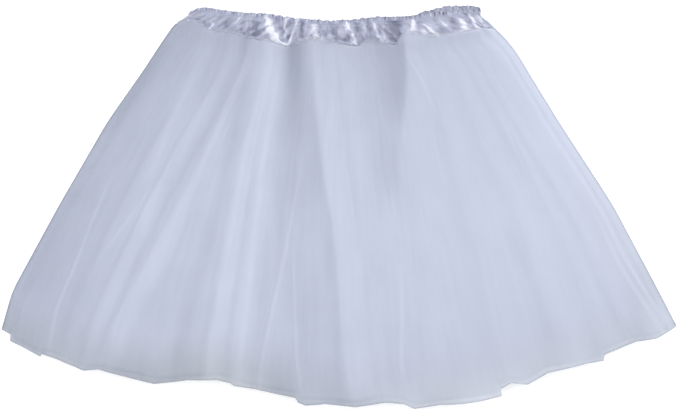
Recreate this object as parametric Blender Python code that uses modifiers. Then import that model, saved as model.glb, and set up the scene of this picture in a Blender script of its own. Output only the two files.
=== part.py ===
"""Ballet tutu laid flat on its back: three tubes of tulle gathered into a satin waistband.

Metres, +Z up. The tutu lies on the plane z = 0. Its waistband is towards +Y, its hem towards -Y,
and its front faces up. The origin is under the middle of its bounding box.

Each tube of tulle is a back and a front panel that meet at the side seams. The six panels lie on
each other as in a pile. A panel's own place is worked out from two numbers: across, from -1 at the
left side of the widest tube to 1 at its right side, and down, from 0 at the waist to 1 at the hem.
"""

from collections import namedtuple
import math

import bmesh
import bpy
import numpy as np

# Thicknesses and clearances
TULLE_WALL = 0.0011  # the netting, as thick as cloth is made in these solids
SATIN_WALL = 0.0016  # satin casing with its elastic inside
GAP = 0.0003  # between pieces that lie on each other
SLOPE_ROOM = 1.5  # height of a panel's wall where it climbs, against its thickness

# Side folds, where a smaller tube ends inside a larger one
SIDE_CLIMB = 0.0065  # width over which a panel climbs onto the tube inside it
SIDE_ZONE = 0.018  # strip along each side that has no folds
SIDE_STEPS = (0.0, 0.0015, 0.0038, 0.0058, 0.0080, 0.0095, 0.0118, 0.0138, 0.0160)
PILE_SHOULDER = 0.110  # the pile reaches its full height this far from the side zone
FOLD_SHOULDER = 0.030  # the top panel's own folds reach theirs this far from it

# Waistband
BAND_CENTRE_X = -0.0025
BAND_TOP_MIDDLE = 0.1915  # where the top edge lies, at the middle and at the ends
BAND_TOP_ENDS = 0.2040
BAND_END_SHRINK = 0.50  # share of the band's height that turns out of sight at its ends
BAND_PUCKERS = 64
BAND_STEPS_PER_PUCKER = 4
BAND_FLOOR_ROOM = 0.0008  # from the surface it lies on to the deepest part of its puckers
BACK_PEEK = 0.0085  # how far the back of the band lies above the front, near its right end
BACK_PEEK_X = 0.113
BACK_PEEK_REACH = 0.040

# How the tulle lies where the band holds it
WAIST_LIFT = 0.0037  # over the back of the band
SIDE_LIFT = 0.0045  # and this much more at its rounded ends
HEM_MIDDLE = 0.377  # from the tucked top edge to the hem, down the middle

# side_spread: how much wider than usual the side steps are where the tulle leaves the band
Section = namedtuple("Section", "down middle_y side_y left_x right_x side_spread")
SECTIONS = (
    Section(0.000, 0.1700, 0.1930, -0.1480, 0.1430, 1.3),
    Section(0.025, 0.1605, 0.1880, -0.1525, 0.1475, 1.5),
    Section(0.042, 0.1541, 0.1830, -0.1715, 0.1600, 1.5),
    Section(0.070, 0.1436, 0.1740, -0.1795, 0.1705, 1.1),
    Section(0.160, 0.1097, 0.1408, -0.2018, 0.1940, 1.0),
    Section(0.330, 0.0456, 0.0864, -0.2400, 0.2277, 1.0),
    Section(0.600, -0.0562, 0.0003, -0.2898, 0.2836, 1.0),
    Section(0.880, -0.1618, -0.0891, -0.3385, 0.3312, 1.0),
    Section(1.000, -0.2070, -0.1273, -0.3493, 0.3509, 1.0),
)

# Fullness: how high folds stand, and how far the band lifts the pile, down the skirt
Fullness = namedtuple("Fullness", "down folds lift")
FULLNESS = (
    Fullness(0.000, 0.12, 1.0),
    Fullness(0.025, 0.16, 0.9),
    Fullness(0.042, 0.22, 0.7),
    Fullness(0.070, 0.32, 0.3),
    Fullness(0.110, 0.45, 0.0),
    Fullness(0.160, 0.60, 0.0),
    Fullness(0.330, 0.90, 0.0),
    Fullness(0.600, 1.00, 0.0),
    Fullness(1.200, 0.90, 0.0),
)

# The uneven hem of the longest panel: how far it hangs below an even curve
HemPoint = namedtuple("HemPoint", "x drop")
LONGEST_HEM = (
    HemPoint(-0.3500, 0.0020),
    HemPoint(-0.3392, 0.0020),
    HemPoint(-0.3380, 0.0095),
    HemPoint(-0.3260, 0.0097),
    HemPoint(-0.3055, 0.0122),
    HemPoint(-0.3040, 0.0086),
    HemPoint(-0.2890, 0.0078),
    HemPoint(-0.2600, 0.0093),
    HemPoint(-0.2475, 0.0026),
    HemPoint(-0.1900, 0.0009),
    HemPoint(-0.1570, -0.0108),
    HemPoint(-0.1265, -0.0167),
    HemPoint(-0.1128, -0.0157),
    HemPoint(-0.1088, -0.0134),
    HemPoint(-0.0850, -0.0126),
    HemPoint(-0.0440, -0.0070),
    HemPoint(-0.0430, -0.0026),
    HemPoint(-0.0345, 0.0004),
    HemPoint(-0.0140, -0.0019),
    HemPoint(0.0193, 0.0011),
    HemPoint(0.0480, -0.0022),
    HemPoint(0.0668, 0.0008),
    HemPoint(0.0769, 0.0066),
    HemPoint(0.1035, 0.0055),
    HemPoint(0.1236, 0.0079),
    HemPoint(0.1450, 0.0086),
    HemPoint(0.1655, 0.0077),
    HemPoint(0.1665, 0.0002),
    HemPoint(0.1783, -0.0035),
    HemPoint(0.1935, 0.0022),
    HemPoint(0.2165, -0.0041),
    HemPoint(0.2555, -0.0014),
    HemPoint(0.2720, 0.0016),
    HemPoint(0.2750, -0.0043),
    HemPoint(0.3076, -0.0050),
    HemPoint(0.3276, 0.0007),
    HemPoint(0.3510, -0.0022),
)

# The folds of the top panel, from its left side to its right. waist and hem: where the fold
# is, across. The other columns are in metres.
Fold = namedtuple("Fold", "waist hem width height lean")
MAIN_FOLDS = (
    Fold(-0.810, -0.925, 0.016, 0.0040, 0.000),
    Fold(-0.765, -0.865, 0.018, 0.0050, -0.003),
    Fold(-0.700, -0.812, 0.020, 0.0055, 0.000),
    Fold(-0.600, -0.745, 0.024, 0.0065, -0.004),
    Fold(-0.500, -0.672, 0.030, 0.0070, -0.004),
    Fold(-0.450, -0.565, 0.026, 0.0040, 0.000),
    Fold(-0.395, -0.385, 0.022, 0.0075, 0.000),
    Fold(-0.325, -0.300, 0.026, 0.0085, 0.003),
    Fold(-0.170, -0.235, 0.014, 0.0045, -0.003),
    Fold(-0.130, -0.115, 0.014, 0.0040, 0.003),
    Fold(-0.080, 0.055, 0.042, 0.0090, -0.008),
    Fold(0.030, 0.130, 0.024, 0.0045, 0.002),
    Fold(0.150, 0.205, 0.016, 0.0050, -0.003),
    Fold(0.450, 0.300, 0.036, 0.0075, -0.006),
    Fold(0.560, 0.500, 0.042, 0.0055, 0.000),
    Fold(0.640, 0.690, 0.036, 0.0060, 0.003),
    Fold(0.720, 0.805, 0.026, 0.0050, 0.003),
    Fold(0.775, 0.880, 0.020, 0.0055, 0.003),
    Fold(0.820, 0.938, 0.014, 0.0045, 0.003),
)
FOLD_CURVE = 1.8  # folds drift sideways mostly near the waist: 1 is straight
LEAN_FROM = 0.05  # folds start to lean here, and lean fully this much further down
LEAN_LENGTH = 0.50
WIDE_FOLD = 0.025
WIDE_FOLD_STEPS = (-1.0, -0.62, -0.3, 0.0, 0.3, 0.62, 1.0)
NARROW_FOLD_STEPS = (-1.0, -0.45, 0.0, 0.45, 1.0)
CLOSEST_COLUMNS = 0.0085  # as a share of half the hem's width
TOP_FOLD_HEIGHT = 0.0090

# The panels from the floor up. inset: how far the tube's side lies inside the widest one.
# hem_short: how far its hem ends above the longest one. room: the height of its folds.
# fold_share: how much of its width is folds, the rest lying flat.
Panel = namedtuple("Panel", "name inset hem_short hem_wave room folds fold_share shift")
PANELS = (
    Panel("tulle_back_outer", 0.000, 0.003, 0.001, 0.0018, 16, 0.55, 0.3),
    Panel("tulle_back_middle", 0.008, 0.008, 0.002, 0.0018, 11, 0.80, 1.1),
    Panel("tulle_back_inner", 0.016, 0.014, 0.003, 0.0018, 10, 0.80, 2.3),
    Panel("tulle_front_inner", 0.016, 0.013, 0.003, 0.0026, 10, 0.80, 0.8),
    Panel("tulle_front_middle", 0.008, 0.007, 0.002, 0.0034, 12, 0.80, 1.9),
    Panel("tulle_front_outer", 0.000, 0.000, 0.000, TOP_FOLD_HEIGHT, 0, 0.0, 0.0),
)
TOP_PANEL = len(PANELS) - 1
HIDDEN_FOLD_STEPS = (-1.0, -0.4, 0.4, 1.0)
HIDDEN_FOLD_WANDER = 0.22  # how far a hidden fold strays, as a share of the space between two
HIDDEN_FOLD_UNEVENNESS = 0.2  # the share of a hidden fold's height that differs from one to the next
HEM_WAVES = 26.0  # radians of small waves from the middle of a hem to its side

# The waistband's rings. drop: below the top edge. depth: from its back to its front.
# pucker: how far its puckers stand out. The second ring is the stitch line under the frilled edge.
Ring = namedtuple("Ring", "drop half_width depth pucker")
BAND_RINGS = (
    Ring(0.0000, 0.1440, 0.0046, 0.0018),
    Ring(0.0060, 0.1455, 0.0046, 0.0006),
    Ring(0.0150, 0.1500, 0.0172, 0.0018),
    Ring(0.0265, 0.1565, 0.0215, 0.0014),
)

TULLE_COLOUR = (0.70, 0.73, 0.84, 1.0)
SATIN_COLOUR = (0.78, 0.80, 0.90, 1.0)


def along(rows, column, key, at):
    """Reads one column of a table at the given places, in straight lines between rows."""
    keys = [getattr(row, key) for row in rows]
    return np.interp(at, keys, [getattr(row, column) for row in rows])


def ease(t):
    """0 to 1 with level ends."""
    t = np.clip(t, 0.0, 1.0)
    return t * t * (3.0 - 2.0 * t)


def bump(t):
    """A rounded fold: 1 at t = 0, and 0 at t = -1 and 1."""
    return 0.5 + 0.5 * np.cos(math.pi * np.clip(t, -1.0, 1.0))


def section(column, down):
    """One column of the section table, which goes on straight past the hem."""
    before, last = SECTIONS[-2], SECTIONS[-1]
    slope = (getattr(last, column) - getattr(before, column)) / (last.down - before.down)
    past = np.maximum(np.asarray(down) - last.down, 0.0)
    return along(SECTIONS, column, "down", down) + slope * past


def half_width(down):
    return (section("right_x", down) - section("left_x", down)) / 2


def plan(across, down):
    """Where a point of the skirt lies, seen from above."""
    middle_x = (section("right_x", down) + section("left_x", down)) / 2
    middle_y, side_y = section("middle_y", down), section("side_y", down)
    x = middle_x + across * half_width(down)
    y = middle_y + (side_y - middle_y) * across**2
    return x, y


def from_side(across, down):
    """Distance of a point from the nearer side of the widest tube."""
    return (1.0 - np.abs(across)) * half_width(down) / section("side_spread", down)


def inside_side(distance, down):
    """The place across that lies this far inside the right side of the widest tube."""
    return 1.0 - distance * section("side_spread", down) / half_width(down)


def panel_thickness(panel, across, down):
    """Height that a panel and its folds take up in the pile."""
    fullness = along(FULLNESS, "folds", "down", down)
    shoulder = ease((from_side(across, down) - SIDE_ZONE) / PILE_SHOULDER)
    return TULLE_WALL * SLOPE_ROOM + GAP + panel.room * fullness * shoulder


def rest_height(number, across, down):
    """Height of the surface that a panel lies on: the band's lift and all the panels below."""
    at_side = np.clip(1.0 - from_side(across, down) / SIDE_ZONE, 0.0, 1.0)
    height = (WAIST_LIFT + SIDE_LIFT * at_side) * along(FULLNESS, "lift", "down", down)
    for below in PANELS[:number]:
        outside = below.inset - from_side(across, down)
        climbs = below.inset > PANELS[number].inset
        there = 1.0 - ease(outside / SIDE_CLIMB) if climbs else 1.0
        height = height + there * panel_thickness(below, across, down)
    return height


def hidden_folds(panel):
    """Evenly uneven folds for a panel that shows only at its edges."""
    folds = []
    for number in range(panel.folds):
        wander = HIDDEN_FOLD_WANDER * math.sin(2.4 * number + panel.shift)
        place = -1.0 + 2.0 * (number + 0.5 + wander) / panel.folds
        uneven = HIDDEN_FOLD_UNEVENNESS * (1.0 - math.sin(1.7 * number + panel.shift))
        height = panel.room * (1.0 - uneven)
        folds.append((place, place, panel.fold_share / panel.folds, height, 0.0))
    return folds


def main_folds():
    """The top panel's folds, with places and widths as shares of the width inside the side zones."""
    folds = []
    for fold in MAIN_FOLDS:
        waist = fold.waist / inside_side(SIDE_ZONE, 0.0)
        hem = fold.hem / inside_side(SIDE_ZONE, 1.0)
        half_fold = fold.width / 2 / (half_width(1.0) - SIDE_ZONE)
        folds.append((waist, hem, half_fold, fold.height, fold.lean))
    return folds


def fold_steps(number, half_fold):
    """Where across a fold its columns stand."""
    if number != TOP_PANEL:
        return HIDDEN_FOLD_STEPS
    wide = 2 * half_fold * (half_width(1.0) - SIDE_ZONE) > WIDE_FOLD
    return WIDE_FOLD_STEPS if wide else NARROW_FOLD_STEPS


# A column of a panel. side: -1 or 1 in the side zones, where it keeps its distance from that side,
# and 0 between them, where it runs from a place at the waist to a place at the hem.
Column = namedtuple("Column", "side distance waist hem")


def side_columns(number, side):
    """A panel's columns in one side zone, from the side inwards."""
    panel = PANELS[number]
    climbs = any(below.inset > panel.inset for below in PANELS[:number])
    distances = [step for step in SIDE_STEPS if step >= panel.inset] if climbs else [panel.inset]
    return [Column(side, distance, side, side) for distance in distances]


def inner_columns(number, folds):
    """A panel's columns from left to right between its side zones."""
    waist_places = [-1.0, *[fold[0] for fold in folds], 1.0]
    hem_places = [-1.0, *[fold[1] for fold in folds], 1.0]
    wanted = [-1.0, 1.0]
    for _, place, half_fold, _, _ in folds:
        wanted += [place + step * half_fold for step in fold_steps(number, half_fold)]
    kept = [-1.0]
    for place in sorted(wanted):
        if place - kept[-1] > CLOSEST_COLUMNS and 1.0 - place > CLOSEST_COLUMNS:
            kept.append(place)
    kept.append(1.0)
    starts = np.interp(kept, hem_places, waist_places)
    return [Column(0, 0.0, float(start), place) for start, place in zip(starts, kept)]


def column_across(column, down):
    """Where a column is at one place down the skirt. The side zones keep their width."""
    if column.side:
        return float(column.side * inside_side(column.distance, down))
    drift = (column.waist - column.hem) * max(1.0 - down, 0.0) ** FOLD_CURVE
    return float((column.hem + drift) * inside_side(SIDE_ZONE, down))


def hem_down(panel, across):
    """How far down a panel's hem is at a place across."""
    x, _ = plan(across, 1.0)
    wave = panel.hem_wave * np.sin(HEM_WAVES * x / half_width(1.0) + 3.0 * panel.shift)
    drop = along(LONGEST_HEM, "drop", "x", x) - panel.hem_short + wave
    return 1.0 + drop / HEM_MIDDLE


def panel_points(number):
    """The underside of a panel, as points[row][column], from the hem up to the waist."""
    panel = PANELS[number]
    folds = main_folds() if number == TOP_PANEL else hidden_folds(panel)
    columns = side_columns(number, -1) + inner_columns(number, folds)
    columns += reversed(side_columns(number, 1))
    hem = [float(hem_down(panel, column_across(column, 1.0))) for column in columns]
    rows = [hem] + [[row.down] * len(columns) for row in reversed(SECTIONS[:-1])]
    return [
        [skirt_point(number, folds, column, down) for column, down in zip(columns, row)]
        for row in rows
    ]


def fold_at(folds, column):
    """Height and lean of the folds at a column."""
    if column.side:
        return 0.0, 0.0
    height = lean = 0.0
    for _, place, half_fold, fold_height, fold_lean in folds:
        share = float(bump((column.hem - place) / half_fold))
        height += fold_height * share
        lean += fold_lean * share
    return height, lean


def skirt_point(number, folds, column, down):
    """A point of a panel's underside, with its fold laid over sideways."""
    height, lean = fold_at(folds, column)
    fullness = float(along(FULLNESS, "folds", "down", down))
    leaning = lean * fullness * ease((down - LEAN_FROM) / LEAN_LENGTH)
    across = column_across(column, down) + leaning / half_width(down)
    shoulder = FOLD_SHOULDER if number == TOP_PANEL else PILE_SHOULDER
    fade = ease((from_side(across, down) - SIDE_ZONE) / shoulder)
    x, y = plan(across, down)
    z = rest_height(number, across, down) + height * fullness * fade
    return float(x), float(y), float(z)


def band_point(ring, turn):
    """A point of the band's outer surface. turn goes once round, from the left end over the front."""
    radius = ring.depth / 2
    straight = 2 * (ring.half_width - radius)
    length = 2 * straight + 2 * math.pi * radius
    pucker = ring.pucker * (0.5 - 0.5 * math.cos(2 * math.pi * BAND_PUCKERS * turn))
    run = (turn * length + math.pi * radius / 2) % length
    outside = radius + pucker
    if run < math.pi * radius:  # round the left end, from the back up to the front
        angle = run / radius
        x = -straight / 2 - outside * math.sin(angle)
        z = -outside * math.cos(angle)
    elif run < math.pi * radius + straight:  # along the front
        x = -straight / 2 + run - math.pi * radius
        z = outside
    elif run < 2 * math.pi * radius + straight:  # round the right end
        angle = (run - math.pi * radius - straight) / radius
        x = straight / 2 + outside * math.sin(angle)
        z = outside * math.cos(angle)
    else:  # along the back
        x = straight / 2 - (run - 2 * math.pi * radius - straight)
        z = -outside
    end_share = min(abs(x) / ring.half_width, 1.0)
    top = BAND_TOP_MIDDLE + (BAND_TOP_ENDS - BAND_TOP_MIDDLE) * end_share**2
    y = top - ring.drop * (1.0 - BAND_END_SHRINK * end_share**6)
    if z < 0:
        y += BACK_PEEK * float(bump((x - BACK_PEEK_X) / BACK_PEEK_REACH)) * min(-z / radius, 1.0)
    return x + BAND_CENTRE_X, y, max(z + radius + BAND_FLOOR_ROOM, 0.0)


def cloth(name, points, wall, offset, colour, closed=False):
    """A wall of cloth over a net of points: a grid put in place, then given its thickness."""
    row_count, column_count = len(points), len(points[0])
    net = bmesh.new()
    bmesh.ops.create_grid(net, x_segments=column_count - 1, y_segments=row_count - 1, size=1.0)
    for vertex in net.verts:
        column = round((vertex.co.x + 1.0) / 2.0 * (column_count - 1))
        row = round((vertex.co.y + 1.0) / 2.0 * (row_count - 1))
        vertex.co = points[row][column]
    if closed:
        bmesh.ops.remove_doubles(net, verts=net.verts, dist=1e-6)
    mesh = bpy.data.meshes.new(name)
    net.to_mesh(mesh)
    net.free()
    mesh.shade_smooth()
    mesh.materials.append(material(name, colour))
    piece = bpy.data.objects.new(name, mesh)
    thickness = piece.modifiers.new("wall", "SOLIDIFY")
    thickness.thickness = wall
    thickness.offset = offset
    thickness.use_even_offset = False
    return piece


def material(name, colour):
    made = bpy.data.materials.new(name)
    made.use_nodes = True
    shader = made.node_tree.nodes["Principled BSDF"]
    shader.inputs["Base Color"].default_value = colour
    shader.inputs["Roughness"].default_value = 0.35 if name == "waistband" else 0.8
    shader.inputs["Metallic"].default_value = 0.0
    return made


def waistband():
    steps = BAND_PUCKERS * BAND_STEPS_PER_PUCKER
    rings = [
        [band_point(ring, step % steps / steps) for step in range(steps + 1)]
        for ring in reversed(BAND_RINGS)
    ]
    return cloth("waistband", rings, SATIN_WALL, -1.0, SATIN_COLOUR, closed=True)


def main():
    for leftover in list(bpy.data.objects):
        bpy.data.objects.remove(leftover, do_unlink=True)
    tutu = bpy.data.collections.new("tutu")
    bpy.context.scene.collection.children.link(tutu)
    tutu.objects.link(waistband())
    for number, panel in enumerate(PANELS):
        tutu.objects.link(cloth(panel.name, panel_points(number), TULLE_WALL, 1.0, TULLE_COLOUR))


main()
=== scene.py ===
"""Ballet tutu laid flat on its back, dressed in tulle and satin.

Metres, +Z up. The waistband is towards +Y, the hem towards -Y, and the front faces up. A place on
the skirt is worked out from two numbers: across, from -1 at the left side to 1 at the right, and
down, from 0 where the tulle is tucked into the band to 1 at the hem.
"""

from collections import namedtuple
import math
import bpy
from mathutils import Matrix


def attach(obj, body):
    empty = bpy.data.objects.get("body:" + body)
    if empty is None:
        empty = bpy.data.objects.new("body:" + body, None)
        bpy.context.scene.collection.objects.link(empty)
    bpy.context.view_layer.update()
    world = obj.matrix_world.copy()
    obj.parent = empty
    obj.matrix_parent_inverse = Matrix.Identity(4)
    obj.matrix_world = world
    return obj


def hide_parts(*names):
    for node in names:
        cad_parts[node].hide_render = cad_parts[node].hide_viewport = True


bl_info = {
    "name": "Ballet tutu",
    "version": (1, 0, 0),
    "blender": (4, 5, 0),
    "location": "View3D > Sidebar > Tutu",
    "description": "Makes a laid-out ballet tutu of six tulle panels and a gathered satin waistband",
    "category": "Add Mesh",
}

import bpy
from mathutils import Vector, noise
import numpy as np

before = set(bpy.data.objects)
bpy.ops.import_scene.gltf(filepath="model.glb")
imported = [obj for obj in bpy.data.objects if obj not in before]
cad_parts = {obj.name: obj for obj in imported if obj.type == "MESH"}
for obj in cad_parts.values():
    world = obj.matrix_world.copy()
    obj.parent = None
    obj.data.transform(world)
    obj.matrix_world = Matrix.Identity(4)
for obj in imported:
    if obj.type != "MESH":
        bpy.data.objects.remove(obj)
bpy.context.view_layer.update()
BODY = "root"
TURN = 2.0 * math.pi
UNITS = {"mm": 1000, "%": 100, "1": 1}  # how many of each make a metre, or the whole

# Small uneven relief. size: of its bumps. along: how fast it changes down the cloth, as a share of
# how fast across it. height: as a share of the largest. shine: how much lighter its tops are
# painted and its hollows darker, as painted highlight and shade.
Relief = namedtuple("Relief", "size along seed height shine", defaults=(1.0, 0.0))


def plain(cell, unit):
    """A number, or each of a tuple's numbers, in metres or as a share of 1."""
    if isinstance(cell, tuple):
        return tuple(plain(part, unit) for part in cell)
    return round(cell / UNITS[unit], 9)


def table(columns, *rows):
    """Rows with named columns. Each name is followed by the unit of its numbers in the table."""
    names, units = zip(*(column.split("/") for column in columns.split()))
    kind = namedtuple("Row", names)
    return [kind(*map(plain, row, units)) for row in rows]


# ---------------------------------------------------------------- how the skirt lies

GAP = 0.0003  # between panels that lie on each other
WALL_ROOM = 0.00165  # height that a panel's cloth takes up in the pile
SIDE_CLIMB = 0.0065  # width over which a panel climbs onto the tube inside it
SIDE_ZONE = 0.018  # strip along each side that has no folds
SIDE_CLOSE = 0.0017  # how far the side of a front panel comes down onto its back panel
SIDE_CLOSE_WIDTH = 0.0045
PILE_SHOULDER = 0.110  # the pile reaches its full height this far from the side zone
FOLD_SHOULDER = 0.030  # the top panel's own folds reach theirs this far from it
WAIST_LIFT = 0.0037  # over the back of the band
SIDE_LIFT = 0.0045  # and this much more at its rounded ends
HEM_MIDDLE = 0.377  # from the tucked top edge to the hem, down the middle
BLUR = (-0.030, -0.015, 0.0, 0.015, 0.030)  # places down that are averaged, so that no kink shows
BLUR_FULL = 0.2  # from here down, all of that blur is used
BLUR_LEAST = 0.12  # and this share of it at the waist

SECTIONS = table(
    "down/% middle_y/mm side_y/mm left_x/mm right_x/mm side_spread/1",
    (0, 170, 195, -150, 145, 1.3),
    (1.2, 165.5, 192, -162, 151.5, 1.4),
    (2.5, 160.5, 188, -168.5, 156.8, 1.5),
    (4.2, 154.1, 183, -173, 160.8, 1.5),
    (7, 143.6, 174, -179.8, 171, 1.1),
    (11.5, 126.7, 157.4, -191.1, 184.7, 1),
    (16, 109.7, 140.8, -201.8, 194.3, 1),
    (33, 45.6, 86.4, -240, 227.7, 1),
    (60, -56.2, 0.3, -289.8, 283.6, 1),
    (88, -161.8, -89.1, -338.5, 331.2, 1),
    (100, -207, -127.3, -349.3, 350.9, 1),
)
# How high folds stand, and how far the band lifts the pile, down the skirt
FULLNESS = table(
    "down/% folds/% lift/%",
    (0, 12, 100), (2.5, 16, 90), (4.2, 22, 70), (7, 32, 30), (11, 45, 0), (16, 60, 0), (33, 90, 0),
    (60, 100, 0), (120, 90, 0),
)
# The uneven hem of the longest panel: how far it hangs below an even curve
LONGEST_HEM = table(
    "x/mm drop/mm",
    (-350, 2), (-339.2, 2), (-338, 9.5), (-326, 9.7), (-305.5, 12.2), (-304, 8.6), (-289, 7.8),
    (-260, 9.3), (-247.5, 2.6), (-190, 0.9), (-157, -10.8), (-126.5, -16.7), (-112.8, -15.7),
    (-108.8, -13.4), (-85, -12.6), (-44, -7), (-43, -2.6), (-34.5, 0.4), (-14, -1.9), (19.3, 1.1),
    (48, -2.2), (66.8, 0.8), (76.9, 6.6), (103.5, 5.5), (123.6, 7.9), (145, 8.6), (165.5, 7.7),
    (166.5, 0.2), (178.3, -3.5), (193.5, 2.2), (216.5, -4.1), (255.5, -1.4), (272, 1.6),
    (275, -4.3), (307.6, -5), (327.6, 0.7), (351, -2.2),
)

# The panels from the floor up. inset: how far the tube's side lies inside the widest one.
# hem_short: how far its hem ends above the longest one. room: the height of its folds.
# cover: how much of what is behind a panel it hides.
Panel = namedtuple("Panel", "name inset hem_short hem_wave room folds fold_share shift cover flat")
PANELS = (
    Panel("tulle_back_outer", 0.000, 0.003, 0.001, 0.0018, 16, 0.55, 0.3, 1.00, (0.690, 0.385)),
    Panel("tulle_back_middle", 0.008, 0.008, 0.002, 0.0018, 11, 0.80, 1.1, 1.00, (0.680, 0.380)),
    Panel("tulle_back_inner", 0.016, 0.014, 0.003, 0.0018, 10, 0.80, 2.3, 1.00, (0.660, 0.375)),
    Panel("tulle_front_inner", 0.016, 0.013, 0.003, 0.0026, 10, 0.80, 0.8, 1.00, (0.665, 0.375)),
    Panel("tulle_front_middle", 0.008, 0.007, 0.002, 0.0034, 12, 0.80, 1.9, 0.95, (0.690, 0.380)),
    Panel("tulle_front_outer", 0.000, 0.000, 0.000, 0.0090, 0, 0.0, 0.0, 0.86, (0.740, 0.385)),
)
TOP_PANEL = len(PANELS) - 1
HIDDEN_COLUMNS, HIDDEN_ROWS = 270, 56  # points across and down a panel under the top one
HIDDEN_FOLD_WANDER = 0.22  # how far a hidden fold strays, as a share of the space between two
HIDDEN_FOLD_UNEVENNESS = 0.2  # how much its height varies
WANDER_STEP, UNEVEN_STEP = 2.4, 1.7  # radians by which each varies from one fold to the next
HIDDEN_PALE = 0.5  # how pale a hidden panel is
HEM_ROWS = (0.988, 0.9945, 0.998, 1.0)  # rows of points close to a hem, whose raw edge is darker
HEM_WAVES = 26.0  # radians of small waves from the middle of a hem to its side
HEM_SHIFT = 3.0  # how far a panel's shift moves them along

# ---------------------------------------------------------------- the top panel's creases

# A path is where something lies, across, at PATH_DOWNS. It goes on straight down from its last
# number. lean: how far a fold's crest lies to the right of its foot.
PATH_DOWNS = (0.00, 0.12, 0.30, 0.50, 0.75, 1.00)
FOLDS = table(
    "path/% width_top/mm width_hem/mm height/mm lean/mm",
    ((-81, -83.5, -86.8, -89.3, -91.5, -92.5), 10, 16, 1.2, 0),
    ((-76.5, -79, -81.5, -84, -85.8, -86.5), 10, 18, 1.4, -1),
    ((-70, -73.5, -76.5, -78.8, -80.4, -81.2), 11, 20, 1.6, 0),
    ((-60, -62.5, -66.5, -70, -73.3, -74.5), 12, 24, 2.6, -2),
    ((-50, -52, -56.5, -62.5, -66.5, -67.2), 14, 30, 3.2, -2),
    ((-45, -47.5, -50.5, -53.5, -55.7, -56.5), 12, 26, 1.8, 0),
    ((-39.5, -39.5, -39.2, -39, -38.7, -38.5), 18, 28, 3.8, 0),
    ((-32.5, -32, -31.2, -30.6, -30.2, -30), 20, 30, 4.2, 1),
    ((-13, -13.5, -14.8, -17.2, -21.3, -24.5), 6, 9, 0.6, 0),
    ((-15, -15.5, -16.2, -16.5, -13.8, -11), 4, 8, 0.5, 0),
    ((-8.5, -6, -1.5, 2, 4.8, 6.2), 34, 56, 4.2, -2),
    ((3, 5.5, 9, 11.2, 12.6, 13), 20, 32, 2.2, 0),
    ((20, 21.5, 22.6, 23.2, 21.7, 19.5), 8, 10, 0.6, 0),
    ((47, 43, 37, 32.2, 30.3, 30), 28, 110, 3, -1),
    ((56, 54.5, 52.5, 51, 50.2, 50), 26, 46, 2.4, 0),
    ((64, 65.5, 67, 68.2, 68.8, 69), 22, 40, 2.4, 1),
    ((72, 74.5, 77.2, 79, 80.2, 80.5), 14, 26, 1.8, 1),
    ((77.5, 80.5, 83.8, 86, 87.5, 88), 12, 20, 1.6, 1),
    ((82, 85.8, 89.3, 91.5, 93.2, 93.8), 10, 14, 1.4, 1),
)
# What is called AT holds where something begins, and over what length it comes in
LEAN_AT = (0.05, 0.50)  # the folds' lean, down
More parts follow.
